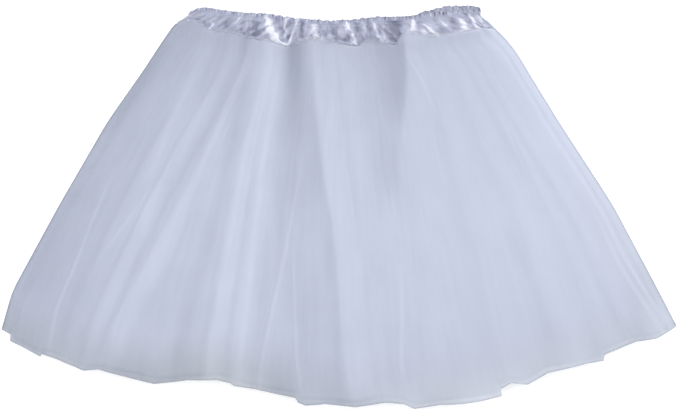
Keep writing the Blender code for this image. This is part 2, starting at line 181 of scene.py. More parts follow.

# Where the top panel is paler or darker: partly where it lies thicker or thinner over itself, and
# partly painted light and shade, with painted shade in its valleys and painted highlights along its
# pleats. left, right: the paths of the stretch's edges. soft_left, soft_right: how far each edge
# fades. change: added to its paleness. start, end: where down it fades in and out.
STRETCHES = table(
    "left/% right/% soft_left/mm soft_right/mm change/% start/% end/%",
    # the pair of broad folds left of the middle, and the thinner strip between them
    ((-43, -42, -42, -41, -40), (-29, -29, -28, -28, -27), 7, 8, 22, -10, 102),
    ((-36, -36, -35, -35.5, -35), (-34, -34, -33, -33, -33, -32), 3, 4, -12, 30, 100),
    # the dark valley beside them, thinner net with painted shade
    ((-31, -31, -27, -22, -20, -19), (-20, -19, -13, -6, -3, 0), 9, 10, -38, -10, 11),
    ((-29, -29, -25, -21, -20, -19), (-18, -16, -11, -5, -3, 0), 12, 10, -14, -10, 26),
    ((-26, -26, -22, -20, -18, -17), (-15, -13, -7, -3, -1, 0), 18, 8, -8, -10, 42),
    ((-25, -25, -22, -19, -15, -14), (-13, -11, -5.5, -1, 1, 2), 14, 4, -13, 2, 100),
    ((-26, -24, -22, -24, -27, -24), (-22, -20, -18, -20, -23.5, -21), 10, 10, -11, 2, 80),
    # and the strip to its right, under the band
    ((-13, -11.5, -7, -3, 0), (-10, -8.5, -4, 0, 3), 4, 5, 11, -10, 22),
    # the long sharp edge, thicker to its right
    ((-15, -12, -6, -1, 1.5, 3.5), (10, 8, 9, 8, 10, 12), 2, 22, 11, 8, 97),
    # the thin zone right of the middle, and the bright line along it
    ((14, 15, 17, 20, 22, 24), (47, 38.5, 29.5, 25), 20, 4, -19, -10, 42),
    ((28, 27, 22, 20, 22, 24), (47, 38.5, 29.5, 25), 14, 3, -22, -10, 20),
    ((41.5, 45.5, 52), (42.7, 46.7, 53), 1.2, 1.5, 15, -2, 20),
    # the duller gathers under the left of the band
    ((-72, -72, -70), (-44, -44, -48, -50), 12, 8, -13, -10, 20),
    ((-56.5, -57.5, -58, -60), (-50, -51.5, -53, -55), 5, 6, -20, -10, 10),
    # slanting folds on the left
    ((-66, -63, -67, -72, -74, -75.5), (-62, -59, -63, -68, -70, -73), 4, 4, 12, 2, 95),
    ((-80, -77.5, -77), (-77, -74.5, -73), 3, 3, 9, 2, 45),
    ((-51, -53, -55, -60.5, -67, -71.5), (-48, -50, -51.5, -56, -61, -65.5), 2, 7, 14, -5, 98),
    ((-56, -58, -60, -64, -68, -72), (-53, -54, -56, -61.5, -67, -71), 6, 3, -9, 6, 72),
    ((-49, -50, -47.5, -48, -50), (-46, -45.5, -43, -43, -45, -46), 5, 8, -13, 5, 100),
    ((-80, -80, -80, -82.5, -84, -83.5), (-78, -78, -77, -79, -81, -80), 4, 6, -9, 20, 100),
    # thicker and thinner ends along the hem
    ((-110,), (-78,), 10, 12, 14, 78, 130),
    ((-1,), (7,), 10, 12, -17, 90, 130),
    ((11,), (24,), 12, 12, 18, 90, 130),
    ((36,), (56,), 14, 14, 17, 90, 130),
    ((74,), (92,), 10, 10, -10, 84, 130),
    ((87.5,), (91.5,), 8, 6, -14, 84, 130),
    ((93, 93, 93, 92.5, 94, 96), (110,), 10, 10, 6, 45, 80),
    ((-25.5, -25.5, -25, -22.5, -20.5, -19), (-22, -22, -21.5, -19.5, -17.5, -16.5), 6, 6, -12, 34, 66),
    ((-32.5,), (-24,), 10, 10, 17, 88, 130),
    ((-20.5,), (-15,), 10, 14, -22, 80, 130),
    ((-68,), (-50,), 12, 12, -32, 91, 130),
    # a dark streak high up the left side
    ((-100, -100, -98.5, -98), (-96.5, -96, -95.5, -95), 2, 3, -14, 4, 32),
    # soft valleys on the right, painted shade
    ((61, 61, 61, 62, 63.5, 62.5), (65, 65, 65, 65, 66.5, 65.5), 6, 6, -8, 50, 100),
    ((78.5,), (79.5,), 1.5, 2, -11, 25, 44),
    ((80, 80, 81, 83, 84, 85), (82, 82, 83, 85, 85.5, 86.5), 4, 3, -6, 25, 100),
    # narrow pleats: doubled net, with painted highlights along their edges
    ((-13, -13, -13.5, -17.6, -21.5, -24.7), (-12, -12, -12.5, -16.5, -20.3, -23.4), 1.2, 1.5, 12, 25, 97),
    ((-17, -17, -17, -17, -13.7, -11.2), (-16, -16, -16, -16, -12.8, -10.2), 1.2, 1.5, 11, 52, 97),
    ((22, 22, 23, 24, 21.3, 18.2), (23, 23, 24, 25, 22.3, 19.2), 1.2, 1.5, 14, 58, 93),
    ((-90, -90, -89, -88.5, -86.8, -86.2), (-89, -89, -88, -87.6, -85.9, -85.3), 1.2, 1.5, 18, 44, 100),
    ((-73, -73, -73, -73.7, -82.2, -83), (-72, -72, -72, -72.9, -81.3, -82), 1, 1.2, 15, 44, 68),
    ((92, 92, 92, 92.6, 92.5, 95.1), (93, 93, 93, 93.4, 93.4, 96.1), 1.4, 2, 24, 56, 100),
    ((95, 95, 95, 95.3, 94.7, 97.7), (96, 96, 96, 96.2, 95.6, 98.6), 1.2, 1.5, 16, 36, 100),
)
FADE_IN, FADE_OUT = 0.15, 0.14  # how far down a stretch takes to fade in and out
PALE_MIDDLE = 0.70  # how pale the top panel is where it has no such stretch
PAINTED_LIGHT_RIGHT = 0.08  # painted light, added from the middle to the right side, which faces the light, and lost to the left
PALE_LOW, PALE_LOW_DOWN = 0.14, 0.55  # added around half way down
SIDE_DARK = 0.27  # lost at the left side, where the cloth turns away from the light
SIDE_DARK_AT = (0.70, 0.28)  # from the middle to the left
SIDE_LIGHT = 0.22  # painted light, gained at the top of the right side, where it is thin and faces the light
SIDE_LIGHT_AT = (0.75, 0.25)  # and to the right
SIDE_LIGHT_LOST = 0.8  # how much of that is lost down at the hem
PALEST = 1.2  # the top panel's, before the hem and its raw edge darken it
LIGHTEST = 1.12  # how far a panel's palest places go past its light colour, which is 1
RAW_EDGE = 0.45  # how much darker the raw edge of a panel is
RAW_HEM_AT = (0.9935, 0.004)  # down to the hem
RAW_SIDE = 0.0022  # in from a side
RIM_AT = (0.976, 0.016)  # down to the hem from here, the top panel is darker by the amounts in RIM
RIM = table(
    "across/% dark/%",
    (-100, 12), (-85, 32), (-60, 36), (-35, 30), (-15, 32), (5, 38), (25, 23), (40, 13), (70, 14),
    (90, 20),
)

# Towards the hem the net is thinner and duller
HEM_DULL_FROM = 0.84
HEM_DULL, HEM_DULL_RIGHT = 0.32, -0.20  # in the middle, and added from there to the right side
HEM_DULL_LEFT = 0.43  # added around a place left of the middle
HEM_DULL_LEFT_X, HEM_DULL_LEFT_WIDTH = -0.36, 0.42
LOW_RIGHT = 0.30  # duller, and paler too, low on the right
LOW_RIGHT_PALE = 0.6
LOW_RIGHT_ACROSS, LOW_RIGHT_DOWN = (0.05, 0.30), (0.86, 0.12)
RIGHT_EDGE = 0.28  # duller along the right side
RIGHT_EDGE_ACROSS, RIGHT_EDGE_DOWN = (0.84, 0.12), (0.30, 0.40)

CRINKLES = Relief(0.014, 1.0, 0.0, 0.5)  # the small creases of every panel
LONG_CRINKLES = Relief(0.022, 0.35, 3.0, 0.8)
GATHERS = Relief(0.009, 0.15, 7.0, 1.2)  # under the waistband
GATHERS_DOWN = 0.30  # where down they have gone
CALM_RIGHT = 0.5  # how much of the small creases the right of the skirt lacks
CALM_RIGHT_AT = (0.20, 0.30)
SMOOTH_SIDE = 0.010  # width of the strip at a side over which the creases come in

# ---------------------------------------------------------------- the waistband

ROLL_ROWS = 18  # rows of the top panel in its roll over the band's lower seam
ROLL_DOWN = 0.058  # where down the roll ends
ROLL_SOFTENING, ROLL_SOFT_ROWS = 5, 8  # rounds of softening, and rows below the roll that they reach
ROLL_THIN = 0.0065  # width over which the net thins out towards the roll's upper edge
ROLL_RISE = 0.0024  # how far this thin edge reaches up past the puffs
ROLL_RISE_OVER = 0.004  # it does so where the puffs reach this far above the seam
ROLL_LEAST = 0.0015  # how far the roll's edge is from the seam at least
ROLL_CLEAR = 0.0008  # how wide a strip along this edge shows none of it
ROLL_LIFT = 0.40  # how much lighter the net is near this edge, where it turns away from the light
ROLL_LIFT_WIDTH = 0.0022
ROLL_SIDE_AT = (0.0003, 0.007)  # in from a side
ROLL_CLEARANCE, ROLL_CLEARANCE_MORE = 0.0018, 0.0010  # over the puckers, and more where it is wide
ROLL_WIDE = 0.006
ROLL_BACK = 0.0040  # how far below its edge the roll stands highest
ROLL_PLEATS = Relief(0.0045, 1.0, 9.0, 0.0002)
ROLL_PUFFS = Relief(0.012, 1.0, 4.0, 0.0003)
ROLL_PLEAT_EDGE = 0.0012  # how far the pleats move its edge up and down
ROLL_PUFF_SHARE = 0.5  # how much the puffs vary its rise and its thin edge
ROLL_EDGE = 3  # the roll's path reaches its upper edge after this many of the points below
# That path before and after its edge: past the band's seam, and over its lowest ring
ROLL_PATH = table("y/mm z/mm", (5, -2), (0.2, -0.8), (-0.6, 1.4), (-1.5, 2.6))

HEADER_SHARE = 0.226  # share of the band's height above its upper stitch line
SEAM_SHARE = 0.93  # where the lower stitch line runs
# How much lighter the satin's puffs and its gathered header are painted, as a shift of their painted
# highlights and shade
BAND_TONE = table(
    "x/mm puffs/% header/%",
    (-150, -42, 10), (-100, -38, 8), (-60, -24, 6), (-2, -18, 4), (6, -34, -14), (48, -34, -22),
    (60, -8, -26), (84, -8, -24), (98, -2, -2), (120, -6, -6), (145, -6, -6),
)

# The band where it lies: y of its front and back top edges, of its lower seam in front and behind,
# and of the tulle's rolled puffs, which ride up over the lower seam
FRONT_TOP = table(
    "x/mm y/mm",
    (-162, 193), (-159.4, 195.6), (-154.2, 199.8), (-149, 202.4), (-142.8, 204.1), (-136, 204.3),
    (-123, 201.8), (-98, 198.8), (-73, 197.7), (-49, 193.6), (-36, 192.5), (-11, 190.5),
    (13, 191.5), (38, 194.6), (63, 194.6), (76, 195.6), (88, 198), (109, 199.8), (130, 202),
    (142, 202.5), (152, 195),
)
BACK_TOP = table(
    "x/mm y/mm",
    (-160, 194), (-154, 198.5), (-148, 201.5), (-136, 203.2), (-98, 197.8), (-36, 191.5),
    (-11, 189.5), (38, 193.6), (76, 195.6), (88, 200.5), (100, 203.6), (113, 206.5), (138, 206.5),
    (146, 205), (152, 195),
)
PUFF_TOP = table(
    "x/mm y/mm",
    (-158, 192), (-147, 188), (-134, 179.5), (-109, 178.8), (-87, 170.6), (-75.5, 172.2),
    (-66.5, 165.8), (-55, 163), (-48, 167), (-40, 169), (-28, 172.5), (-18, 170.5), (0, 167.5),
    (20, 163.8), (29, 169.5), (48, 168.5), (61, 165), (70, 179.5), (85, 179), (94, 175), (106, 175),
    (127, 178.5), (152, 182), (158, 186),
)
FRONT_SEAM = table(
    "x/mm y/mm",
    (-158, 190), (-134, 178), (-109, 173), (-87, 170), (-67, 167), (-55, 162.8), (-45, 164),
    (-20, 165.5), (0, 165.5), (20, 163.4), (40, 165.5), (61, 164.8), (80, 168), (106, 172),
    (127, 177), (152, 182), (158, 186),
)
BACK_SEAM = table(
    "x/mm y/mm",
    (-158, 189), (-120, 175), (-60, 167), (0, 165), (60, 167), (120, 176), (158, 185),
)
CORNER_STEPS = (-0.0025, -0.00125, 0.0, 0.00125, 0.0025)  # places that round an edge's corners
# share: of the band's height, from its top edge. left, right: its ends. depth: from back to front.
RINGS = table(
    "share/% left/mm right/mm depth/mm",
    (0, -154.5, 145.9, 6.2), (20, -156.2, 146.2, 6.6), (25, -156.8, 146.5, 7.8),
    (38, -158.5, 148, 13.8), (56, -160.3, 150.8, 17.4), (74, -161.6, 153.3, 18),
    (86, -162, 154.5, 17.6), (94, -162, 155, 17), (100, -161.2, 154.8, 16.2),
)
BAND_FULLEST = 0.74  # the share at which the band is deepest
# The front's puckers. x_top, x_low: where each starts and ends. start, end: share of the height.
# width: half of it. height: above the casing, or below it if negative. shine: painted highlight, or
# painted shade if negative.
PUCKERS = table(
    "x_top/mm x_low/mm start/% end/% width/mm height/mm shine/%",
    (-138.7, -145, 25, 90, 1.2, 0.8, 35), (-132, -142, 20, 60, 1.2, 0.8, 70),
    (-124, -133, 18, 60, 1.3, 0.8, 70), (-130, -133.5, 60, 90, 1.8, 1, 160),
    (-115, -119, 25, 95, 2.2, -1, -30), (-102, -107.8, 18, 50, 2, 1.4, 130),
    (-99, -101.5, 30, 90, 2, -0.8, -25), (-95.2, -96.3, 15, 95, 1.3, 1, 35),
    (-90.5, -91.8, 15, 85, 1.1, 0.8, 25), (-85.5, -86.8, 30, 90, 3.4, -1.8, -95),
    (-73.5, -62, 15, 99, 3.8, 2.6, 105), (-74.2, -72.2, 16, 70, 2, 1, 90),
    (-73.5, -68.5, 46, 97, 4.2, 0.8, 90), (-63.5, -54, 84, 97, 2.6, 1.4, 90),
    (-64, -57.5, 10, 60, 3, -1.2, -40), (-55.9, -55.9, 0, 78, 1, 1.2, 60),
    (-51, -53, 10, 75, 2.6, -1.2, -40), (-42.4, -52, 0, 96, 1.8, 2, 90),
    (-38, -38.5, 10, 110, 2.4, -2.2, -75), (-33, -32, 15, 100, 1.6, 0.6, 10),
    (-25.5, -24.8, 18, 74, 4, 2.2, 110), (-17.6, -17.2, 70, 98, 1.4, 1, 75),
    (-20.5, -20, 20, 80, 1.3, -0.8, -30), (-7, -5, 15, 100, 6.5, -0.8, -30),
    (-11, -10.5, 20, 80, 1, 0.6, 25), (7.8, 14.5, 10, 62, 2, 2, 90), (5, 8.5, 18, 42, 3, 0.8, 70),
    (13.2, 19.2, 58, 97, 2.8, 1.8, 120), (18.5, 21, 15, 75, 2.6, -1.2, -40),
    (25.9, 26.2, 15, 75, 1.6, 0.8, 30), (30.5, 33, 15, 85, 2.2, -1, -30),
    (35.2, 40.4, 18, 78, 1.8, 1.8, 90), (44, 47.2, 30, 85, 1.3, 1, 45),
    (57, 58, 15, 98, 6.4, -2, -100), (70, 70.5, 15, 90, 2, 0.6, 5),
    (76.2, 76.8, 16, 56, 2.8, 1.8, 120), (81.5, 83.5, 25, 85, 1.8, -1.2, -50),
    (85.4, 102.5, 36, 92, 2.5, 2, 105), (96.5, 106.5, 30, 75, 2.6, -1.2, -45),
    (103.5, 110, 22, 60, 1.4, 1, 55), (115, 118, 25, 90, 2.6, -1, -30),
    (126.5, 130, 38, 92, 3.6, 1.6, 80), (133.5, 142.3, 18, 90, 1.8, 1.6, 80),
    (130, 137, 15, 70, 1.6, -1, -50), (143, 150, 25, 90, 1.4, 1, 40),
)
PUCKER_END = 0.10  # share of the height over which a pucker starts and ends
PUCKER_SWAY = Relief(0.006, 1.0, 21.0, 0.0016)  # how far a pucker strays to its sides
PUCKER_SPREAD = Relief(0.0045, 1.0, 22.0, 0.5)  # how much its width varies
BACK_PUCKERS = 46  # evenly uneven ones round the back
BACK_PUCKER_HEIGHT = 0.0014
BACK_UNEVEN, BACK_UNEVEN_TURNS = 0.8, 7  # how far these are out of step, and how often round
BAND_TALL = 0.030
SLANT_FULL = 0.120  # this far from the middle, creases lean outwards as fast as they go down
CASING_TOP, CASING_LOW = 0.12, 0.10  # shares of the height over which the casing fills out
CASING_LEFT = 0.2  # where its lower ramp stands at the seam
FINE_ROUND, FINE_SLANT, FINE_TALL = 62.0, 0.5, 0.9  # how the fine puckers' relief is laid round
FINE = Relief(0.50, 1.0, 2.0, 0.6, 0.25)
FINER = Relief(0.24, 1.4, 5.0, 0.35, 0.20)
CRUMPLES = Relief(0.0050, 0.5, 23.0, 0.0005, 0.42)  # sharp ones between the puckers, with painted highlights on their tops and painted shade in their hollows
CRUMPLE_SHARPNESS = 3.0
CREASES = Relief(0.0034, 0.6, 24.0, 0.0005, 0.35)  # narrow ridges between the crumples, with painted highlights along them and painted shade beside them
CREASE_TOP, CREASE_DEPTH = 0.3, 1.6
LEFT_QUIET = 0.35  # how much less the satin shines on the left
LEFT_QUIET_AT = (0.080, 0.020)  # from this far left of the middle, over this width
LINE_WIDTH, LINE_DEPTH, LINE_DARK = 0.035, 0.0004, 0.25  # of the upper stitch line: its groove, and the painted shade in it
LINE_EVEN, LINE_FINE = 0.5, 1.5  # how much of that painted shade is even, and how much is the puckers'
COVERED_FROM = 0.14  # share of the height above the puffs' edge where the satin fades under the net
COVERED_FLAT, COVERED_DULL, COVERED_LIGHT = 0.85, 0.4, 0.52  # how flat and dull it is there, and how much painted light it gets against the shade of the net over it
RUFFLE_ROUND = 150.0  # how the relief of the gathered header's ruffles is laid round
RUFFLES, SMALL_RUFFLES = Relief(0.55, 0.4, 11.0), Relief(0.28, 0.8, 12.0, 0.6)
RUFFLE_FRONT, RUFFLE_BACK, RUFFLE_RISE = 0.0028, 0.0012, 0.0006  # their height, and their foot's
RUFFLE_SHINE, HEADER_SHINE = 1.5, 0.15  # painted highlights on the ruffles' crests, and painted light on the header under them
TOP_DARK, TOP_DARK_SHARE = 0.45, 0.05  # painted shade along the band's top edge
FRILL_ROUND, FRILL = 90.0, Relief(0.6, 1.0, 13.0, 0.0018)  # the frill on the top edge
FRILL_LEAST = 0.3  # and what is left of it at the left end
FRILL_AT = (-0.110, 0.030)
BAND_OVER_FLOOR = 0.0008  # how far the band's middle is raised
BAND_LEAST = 0.0003  # the height of its lowest points at least
SATIN_LENGTH, SATIN_WIDTH = 0.62, 0.0265  # of the strip, in the map of its weave
SATIN_THICKNESS = 0.0005
STITCH_OUT = 0.00045  # how far the stitches lie outside the middle of the satin
STITCH_LEAST = (0.85, 0.85, 0.85)  # the smallest stitches, as a share of the largest
STITCH_SEED = 4
THREAD_DARK = (0.50, 0.52, 0.62)

# ---------------------------------------------------------------- the looks

# Noise in a material. scale: its bumps a metre, one number or one across and one down the cloth.
Grain = namedtuple("Grain", "scale detail roughness")
STREAKS = Grain((150.0, 11.0), 3.0, 0.60)  # down the fall of the tulle
CLOUDS = Grain((30.0, 16.0), 3.0, 0.55)
RUMPLES = Grain((90.0, 34.0), 4.0, 0.60)
MOTTLES = Grain((560.0, 240.0), 3.0, 0.60)  # on the satin: mottles, and the wrinkles and glints of its painted highlights
WRINKLES = Grain((340.0, 130.0), 2.0, 0.50)
GLINTS = Grain((900.0, 500.0), 2.0, 0.60)
TWIST = Grain(2500.0, 1.0, 0.50)  # of the sewing thread
STREAK_TONE, CLOUD_TONE, THREAD_TONE = 0.05, 0.24, 0.025  # how much paler each makes the tulle
STREAK_COVER, THREAD_COVER = 0.06, 0.04  # and how much it varies what the tulle hides
THREAD_MEAN = 0.4  # the share of the net that its threads cover
THREAD_HALF, THREAD_SOFT = 0.05, 0.14  # half a thread's width and its soft edge, in holes
RUMPLE_HEIGHT, THREAD_HEIGHT = 1.5, 0.03  # as shares of a crinkle's height, and of a rumple's
WRINKLE_SHARPNESS, WRINKLE_MEAN = 12.0, 0.35  # the second is the share of the satin in wrinkles
MOTTLE_TONE, WRINKLE_TONE, GLINT_TONE = 0.5, 0.30, 0.8  # how much lighter each makes the satin; the wrinkles' and glints' lightness is painted highlight
SHINE_FROM = 0.20  # tones above this are painted lighter than the satin's colour, as painted highlight
FINE_VALLEY = 0.4  # how much of the fine tones shows in the painted shade of its valleys
ROUGHNESS, SHINE_SMOOTH, MOTTLE_ROUGH = 0.42, 0.14, 0.12  # the satin's
SATIN_RELIEF, WEAVE_HEIGHT, WRINKLE_HEIGHT = 0.0004, 0.3, 0.8  # the last two as shares of it
TULLE_BUMP, SATIN_BUMP = 0.25, 0.5  # strength of the relief in each material

# ---------------------------------------------------------------- the stage

SKY_COLOUR = (0.97, 0.98, 1.0)
LAMP_COLOUR = (1.0, 0.985, 0.97)
SENSOR = 36.0  # millimetres, as a camera's lens is
CAMERA_AT = (0.001, 0.0005)  # x and y
TOP_OF_CLOTH = 0.004  # height that the camera's distance is measured from


# ---------------------------------------------------------------- the form of the skirt


def straight(rows, column, at):
    """Reads one column of a table, in straight lines that go on past both ends."""
    keys = np.array([row[0] for row in rows])
    values = np.array([getattr(row, column) for row in rows])
    at = np.asarray(at, dtype=float)
    low = (values[1] - values[0]) / (keys[1] - keys[0]) * np.minimum(at - keys[0], 0.0)
    high = (values[-1] - values[-2]) / (keys[-1] - keys[-2]) * np.maximum(at - keys[-1], 0.0)
    return np.interp(at, keys, values) + low + high


def rounded(rows, x):
    """The y of an edge line at x, with its corners rounded."""
    return sum(straight(rows, "y", x + step) for step in CORNER_STEPS) / len(CORNER_STEPS)


def section(column, down):
    reach = np.clip(np.asarray(down) / BLUR_FULL, BLUR_LEAST, 1.0)
    return sum(straight(SECTIONS, column, down + step * reach) for step in BLUR) / len(BLUR)


def fullness(column, down):
    return straight(FULLNESS, column, np.clip(down, 0.0, FULLNESS[-1].down))


def ease(t):
    """0 to 1 with level ends."""
    t = np.clip(t, 0.0, 1.0)
    return t * t * (3.0 - 2.0 * t)


def ramp(value, start, length):
    """0 up to the start, and 1 from this length past it."""
    return ease((value - start) / length)


def bump(t):
    """A rounded fold: 1 at t = 0, and 0 at t = -1 and 1."""
    return 0.5 + 0.5 * np.cos(math.pi * np.clip(t, -1.0, 1.0))


def ridge(t):
    """A soft ridge: 1 at t = 0, and almost 0 from t = 2."""
    return np.exp(-(t**2))


def waves(u, v, relief, shift=0.0):
    """Smooth noise from -1 to 1 at flat places u, v."""
    u, v = np.broadcast_arrays(u / relief.size, v * relief.along / relief.size)
    seed = relief.seed + shift
    values = [noise.noise(Vector((a, b, seed))) for a, b in zip(u.flat, v.flat)]
    return np.array(values).reshape(u.shape)


def half_width(down):
    return (section("right_x", down) - section("left_x", down)) / 2


def plan(across, down):
    """Where a point of the skirt lies, seen from above."""
    middle_x = (section("right_x", down) + section("left_x", down)) / 2
    middle_y, side_y = section("middle_y", down), section("side_y", down)
    return middle_x + across * half_width(down), middle_y + (side_y - middle_y) * across**2


def from_side(across, down):
    """Distance of a point from the nearer side of the widest tube."""
    return (1.0 - np.abs(across)) * half_width(down) / section("side_spread", down)


def inside_side(distance, down):
    """The place across that lies this far inside the right side of the widest tube."""
    return 1.0 - distance * section("side_spread", down) / half_width(down)


def rest_height(number, across, down):
    """Height of the surface that a panel lies on: the band's lift and all the panels below."""
    side = from_side(across, down)
    at_side = np.clip(1.0 - side / SIDE_ZONE, 0.0, 1.0)
    height = (WAIST_LIFT + SIDE_LIFT * at_side) * fullness("lift", down)
    room = fullness("folds", down) * ramp(side, SIDE_ZONE, PILE_SHOULDER)
    for below in PANELS[:number]:
        climbs = below.inset > PANELS[number].inset
        there = 1.0 - ramp(below.inset, side, SIDE_CLIMB) if climbs else 1.0
        height = height + there * (WALL_ROOM + GAP + below.room * room)
    return height


def hem_down(panel, across):
    """How far down a panel's hem is at a place across."""
    x, _ = plan(across, 1.0)
    wave = panel.hem_wave * np.sin(HEM_WAVES * x / half_width(1.0) + HEM_SHIFT * panel.shift)
    return 1.0 + (straight(LONGEST_HEM, "drop", x) - panel.hem_short + wave) / HEM_MIDDLE


def hidden_folds(panel, across, down):
    """Height of the evenly uneven folds of a panel under the top one."""
    height = np.zeros_like(across)
    inner = across / inside_side(SIDE_ZONE, down)
    for number in range(panel.folds):
        wander = HIDDEN_FOLD_WANDER * math.sin(WANDER_STEP * number + panel.shift)
        place = -1.0 + 2.0 * (number + 0.5 + wander) / panel.folds
        uneven = HIDDEN_FOLD_UNEVENNESS * (1.0 - math.sin(UNEVEN_STEP * number + panel.shift))
        height += panel.room * (1.0 - uneven) * bump((inner - place) / panel.fold_share * panel.folds)
    return height


def follow(path, down):
    return np.interp(down, PATH_DOWNS[: len(path)], path)


def top_folds(across, down):
    """Height and sideways lean of the top panel's folds."""
    height, lean = np.zeros_like(across), np.zeros_like(across)
    half = half_width(down)
    for fold in FOLDS:
        width = fold.width_top + (fold.width_hem - fold.width_top) * np.clip(down, 0.0, 1.0)
        share = bump((across - follow(fold.path, down)) * half / (width / 2))
        height = np.maximum(height, fold.height * share)
        lean += fold.lean * share
    return height, lean


def top_paleness(across, down):
    """How pale the top panel is at each place, from 0 to 1, with its painted light and shade."""
    half = half_width(down)
    pale = PALE_MIDDLE + PAINTED_LIGHT_RIGHT * across + PALE_LOW * bump((down - PALE_LOW_DOWN) / PALE_LOW_DOWN)
    pale = pale - SIDE_DARK * ramp(-across, *SIDE_DARK_AT)
    pale = pale + SIDE_LIGHT * ramp(across, *SIDE_LIGHT_AT) * (1.0 - SIDE_LIGHT_LOST * down)
    for stretch in STRETCHES:
        past_left = (across - follow(stretch.left, down)) * half
        past_right = (across - follow(stretch.right, down)) * half
        inside = ease(0.5 + past_left / (2 * stretch.soft_left))
        inside = inside * ease(0.5 - past_right / (2 * stretch.soft_right))
        fade = ramp(down, stretch.start, FADE_IN) * ease((stretch.end - down) / FADE_OUT + 0.5)
        pale = pale + stretch.change * inside * fade
    return np.clip(pale, 0.0, PALEST)


def band_height(x, share):
    """Height of the front of the waistband, without its puckers."""
    radius = straight(RINGS, "depth", share) / 2
    left, right = straight(RINGS, "left", share), straight(RINGS, "right", share)
    past = np.maximum(left + radius - x, x - right + radius)
    return radius + np.sqrt(np.maximum(radius**2 - np.maximum(past, 0.0) ** 2, 0.0))


def roll_path(x, y, z):
    """The points that the roll goes through, as two lists of rows, and its upper edge."""
    band_x = np.clip(x, FRONT_SEAM[0].x, FRONT_TOP[-1].x)
    pleat, puff = waves(x, 0.0, ROLL_PLEATS), waves(x, 0.0, ROLL_PUFFS)
    seam, edge = rounded(FRONT_SEAM, band_x), rounded(PUFF_TOP, band_x)
    uneven = 1.0 + ROLL_PUFF_SHARE * puff
    edge = edge + ROLL_RISE * ease((edge - seam) / ROLL_RISE_OVER) * uneven
    edge = np.maximum(edge + ROLL_PLEAT_EDGE * pleat, seam + ROLL_LEAST)
    top = rounded(FRONT_TOP, band_x)
    low = band_height(band_x, 1.0)
    high = band_height(band_x, np.clip((top - edge) / (top - seam), BAND_FULLEST, 1.0))
    over = high + ROLL_CLEARANCE + ROLL_CLEARANCE_MORE * ease((edge - seam) / ROLL_WIDE)
    highest = edge - np.minimum(ROLL_BACK, (edge - seam + ROLL_LEAST) / 2)
    path_y = [seam + point.y for point in ROLL_PATH]
    path_z = [low + point.z for point in ROLL_PATH]
    path_y[ROLL_EDGE:ROLL_EDGE] = [edge, highest]
    path_z[ROLL_EDGE:ROLL_EDGE] = [over, over + ROLL_PUFFS.height * puff]
    for row in path_z[ROLL_EDGE:]:
        row += ROLL_PLEATS.height * pleat
    thin = np.clip(edge - seam, ROLL_LEAST, ROLL_THIN * uneven)
    return [*path_y, y], [*path_z, z], edge, thin


def roll_over_band(x, y, z, side_room, maps):
    """Rolls the top rows of the top panel out from under the band and up over its lower seam.

    Gives back how much of its cover each point has, as the net thins out towards the roll's edge,
    and how near to that edge it is.
    """
    path_y, path_z, edge, thin = roll_path(x[ROLL_ROWS], y[ROLL_ROWS], z[ROLL_ROWS])
    places = np.full(len(y), len(path_y) - 1.0)
    places[: ROLL_ROWS + 1] = np.linspace(0.0, len(path_y) - 1.0, ROLL_ROWS + 1)
    rolled_y, rolled_z = y.copy(), z.copy()
    for row, place in enumerate(places[: ROLL_ROWS + 1]):
        step = min(int(place), len(path_y) - 2)
        part = place - step
        rolled_y[row] = path_y[step] * (1 - part) + path_y[step + 1] * part
        rolled_z[row] = path_z[step] * (1 - part) + path_z[step + 1] * part
    fold = int(np.searchsorted(places, ROLL_EDGE)) + 1  # the first row past the roll's upper edge
    for _ in range(ROLL_SOFTENING):
        for line in (rolled_y, rolled_z):
            line[fold:-1] = (line[fold - 1 : -2] + 2 * line[fold:-1] + line[fold + 1 :]) / 4
    last = ROLL_ROWS + ROLL_SOFT_ROWS
    inside = ramp(side_room[:last], *ROLL_SIDE_AT)
    y[:last] += (rolled_y - y)[:last] * inside
    z[:last] += (rolled_z - z)[:last] * inside
    steps = np.hypot(np.diff(y[: last + 1], axis=0), np.diff(z[: last + 1], axis=0))
    length = np.cumsum(steps[::-1], axis=0)[::-1]
    for chart in maps:
        chart[:last, :, 1] = chart[last, :, 1] - length
    cover = ease((edge - ROLL_CLEAR - y) / thin)
    cover[places < 1.0] = 1.0  # inside the band
    at_edge = places > ROLL_EDGE - 0.01
    cover[(places > ROLL_EDGE - 0.99) & ~at_edge] = 0.0  # on the way up to the edge
    lift = ridge((edge - y) / ROLL_LIFT_WIDTH) * at_edge[:, None]
    return cover, lift


def hem_dullness(across, down, to_hem):
    """How thin and dull a panel's net is, and how much paler it is low on the right."""
    dull = ramp(to_hem, HEM_DULL_FROM, 1.0 - HEM_DULL_FROM)
    left = bump((across - HEM_DULL_LEFT_X) / HEM_DULL_LEFT_WIDTH)
    dull = dull * (HEM_DULL + HEM_DULL_LEFT * left + HEM_DULL_RIGHT * across)
    edge = RIGHT_EDGE * ramp(across, *RIGHT_EDGE_ACROSS) * ramp(down, *RIGHT_EDGE_DOWN)
    low_right = LOW_RIGHT * ramp(across, *LOW_RIGHT_ACROSS) * ramp(to_hem, *LOW_RIGHT_DOWN)
    return dull + np.maximum(low_right, edge), low_right


def crease_height(panel, down, flat, fall):
    """Height of a panel's crinkles and gathers, as a share of the height in the settings."""
    gathered = 1.0 - ease(down / GATHERS_DOWN)
    height = 0.0
    for kind, chart, share in (
        (CRINKLES, flat, 1.0), (LONG_CRINKLES, fall, 1.0), (GATHERS, fall, gathered)
    ):
        bumps = waves(chart[..., 0], chart[..., 1], kind, panel.shift)
        height = height + kind.height * share * bumps
    return height


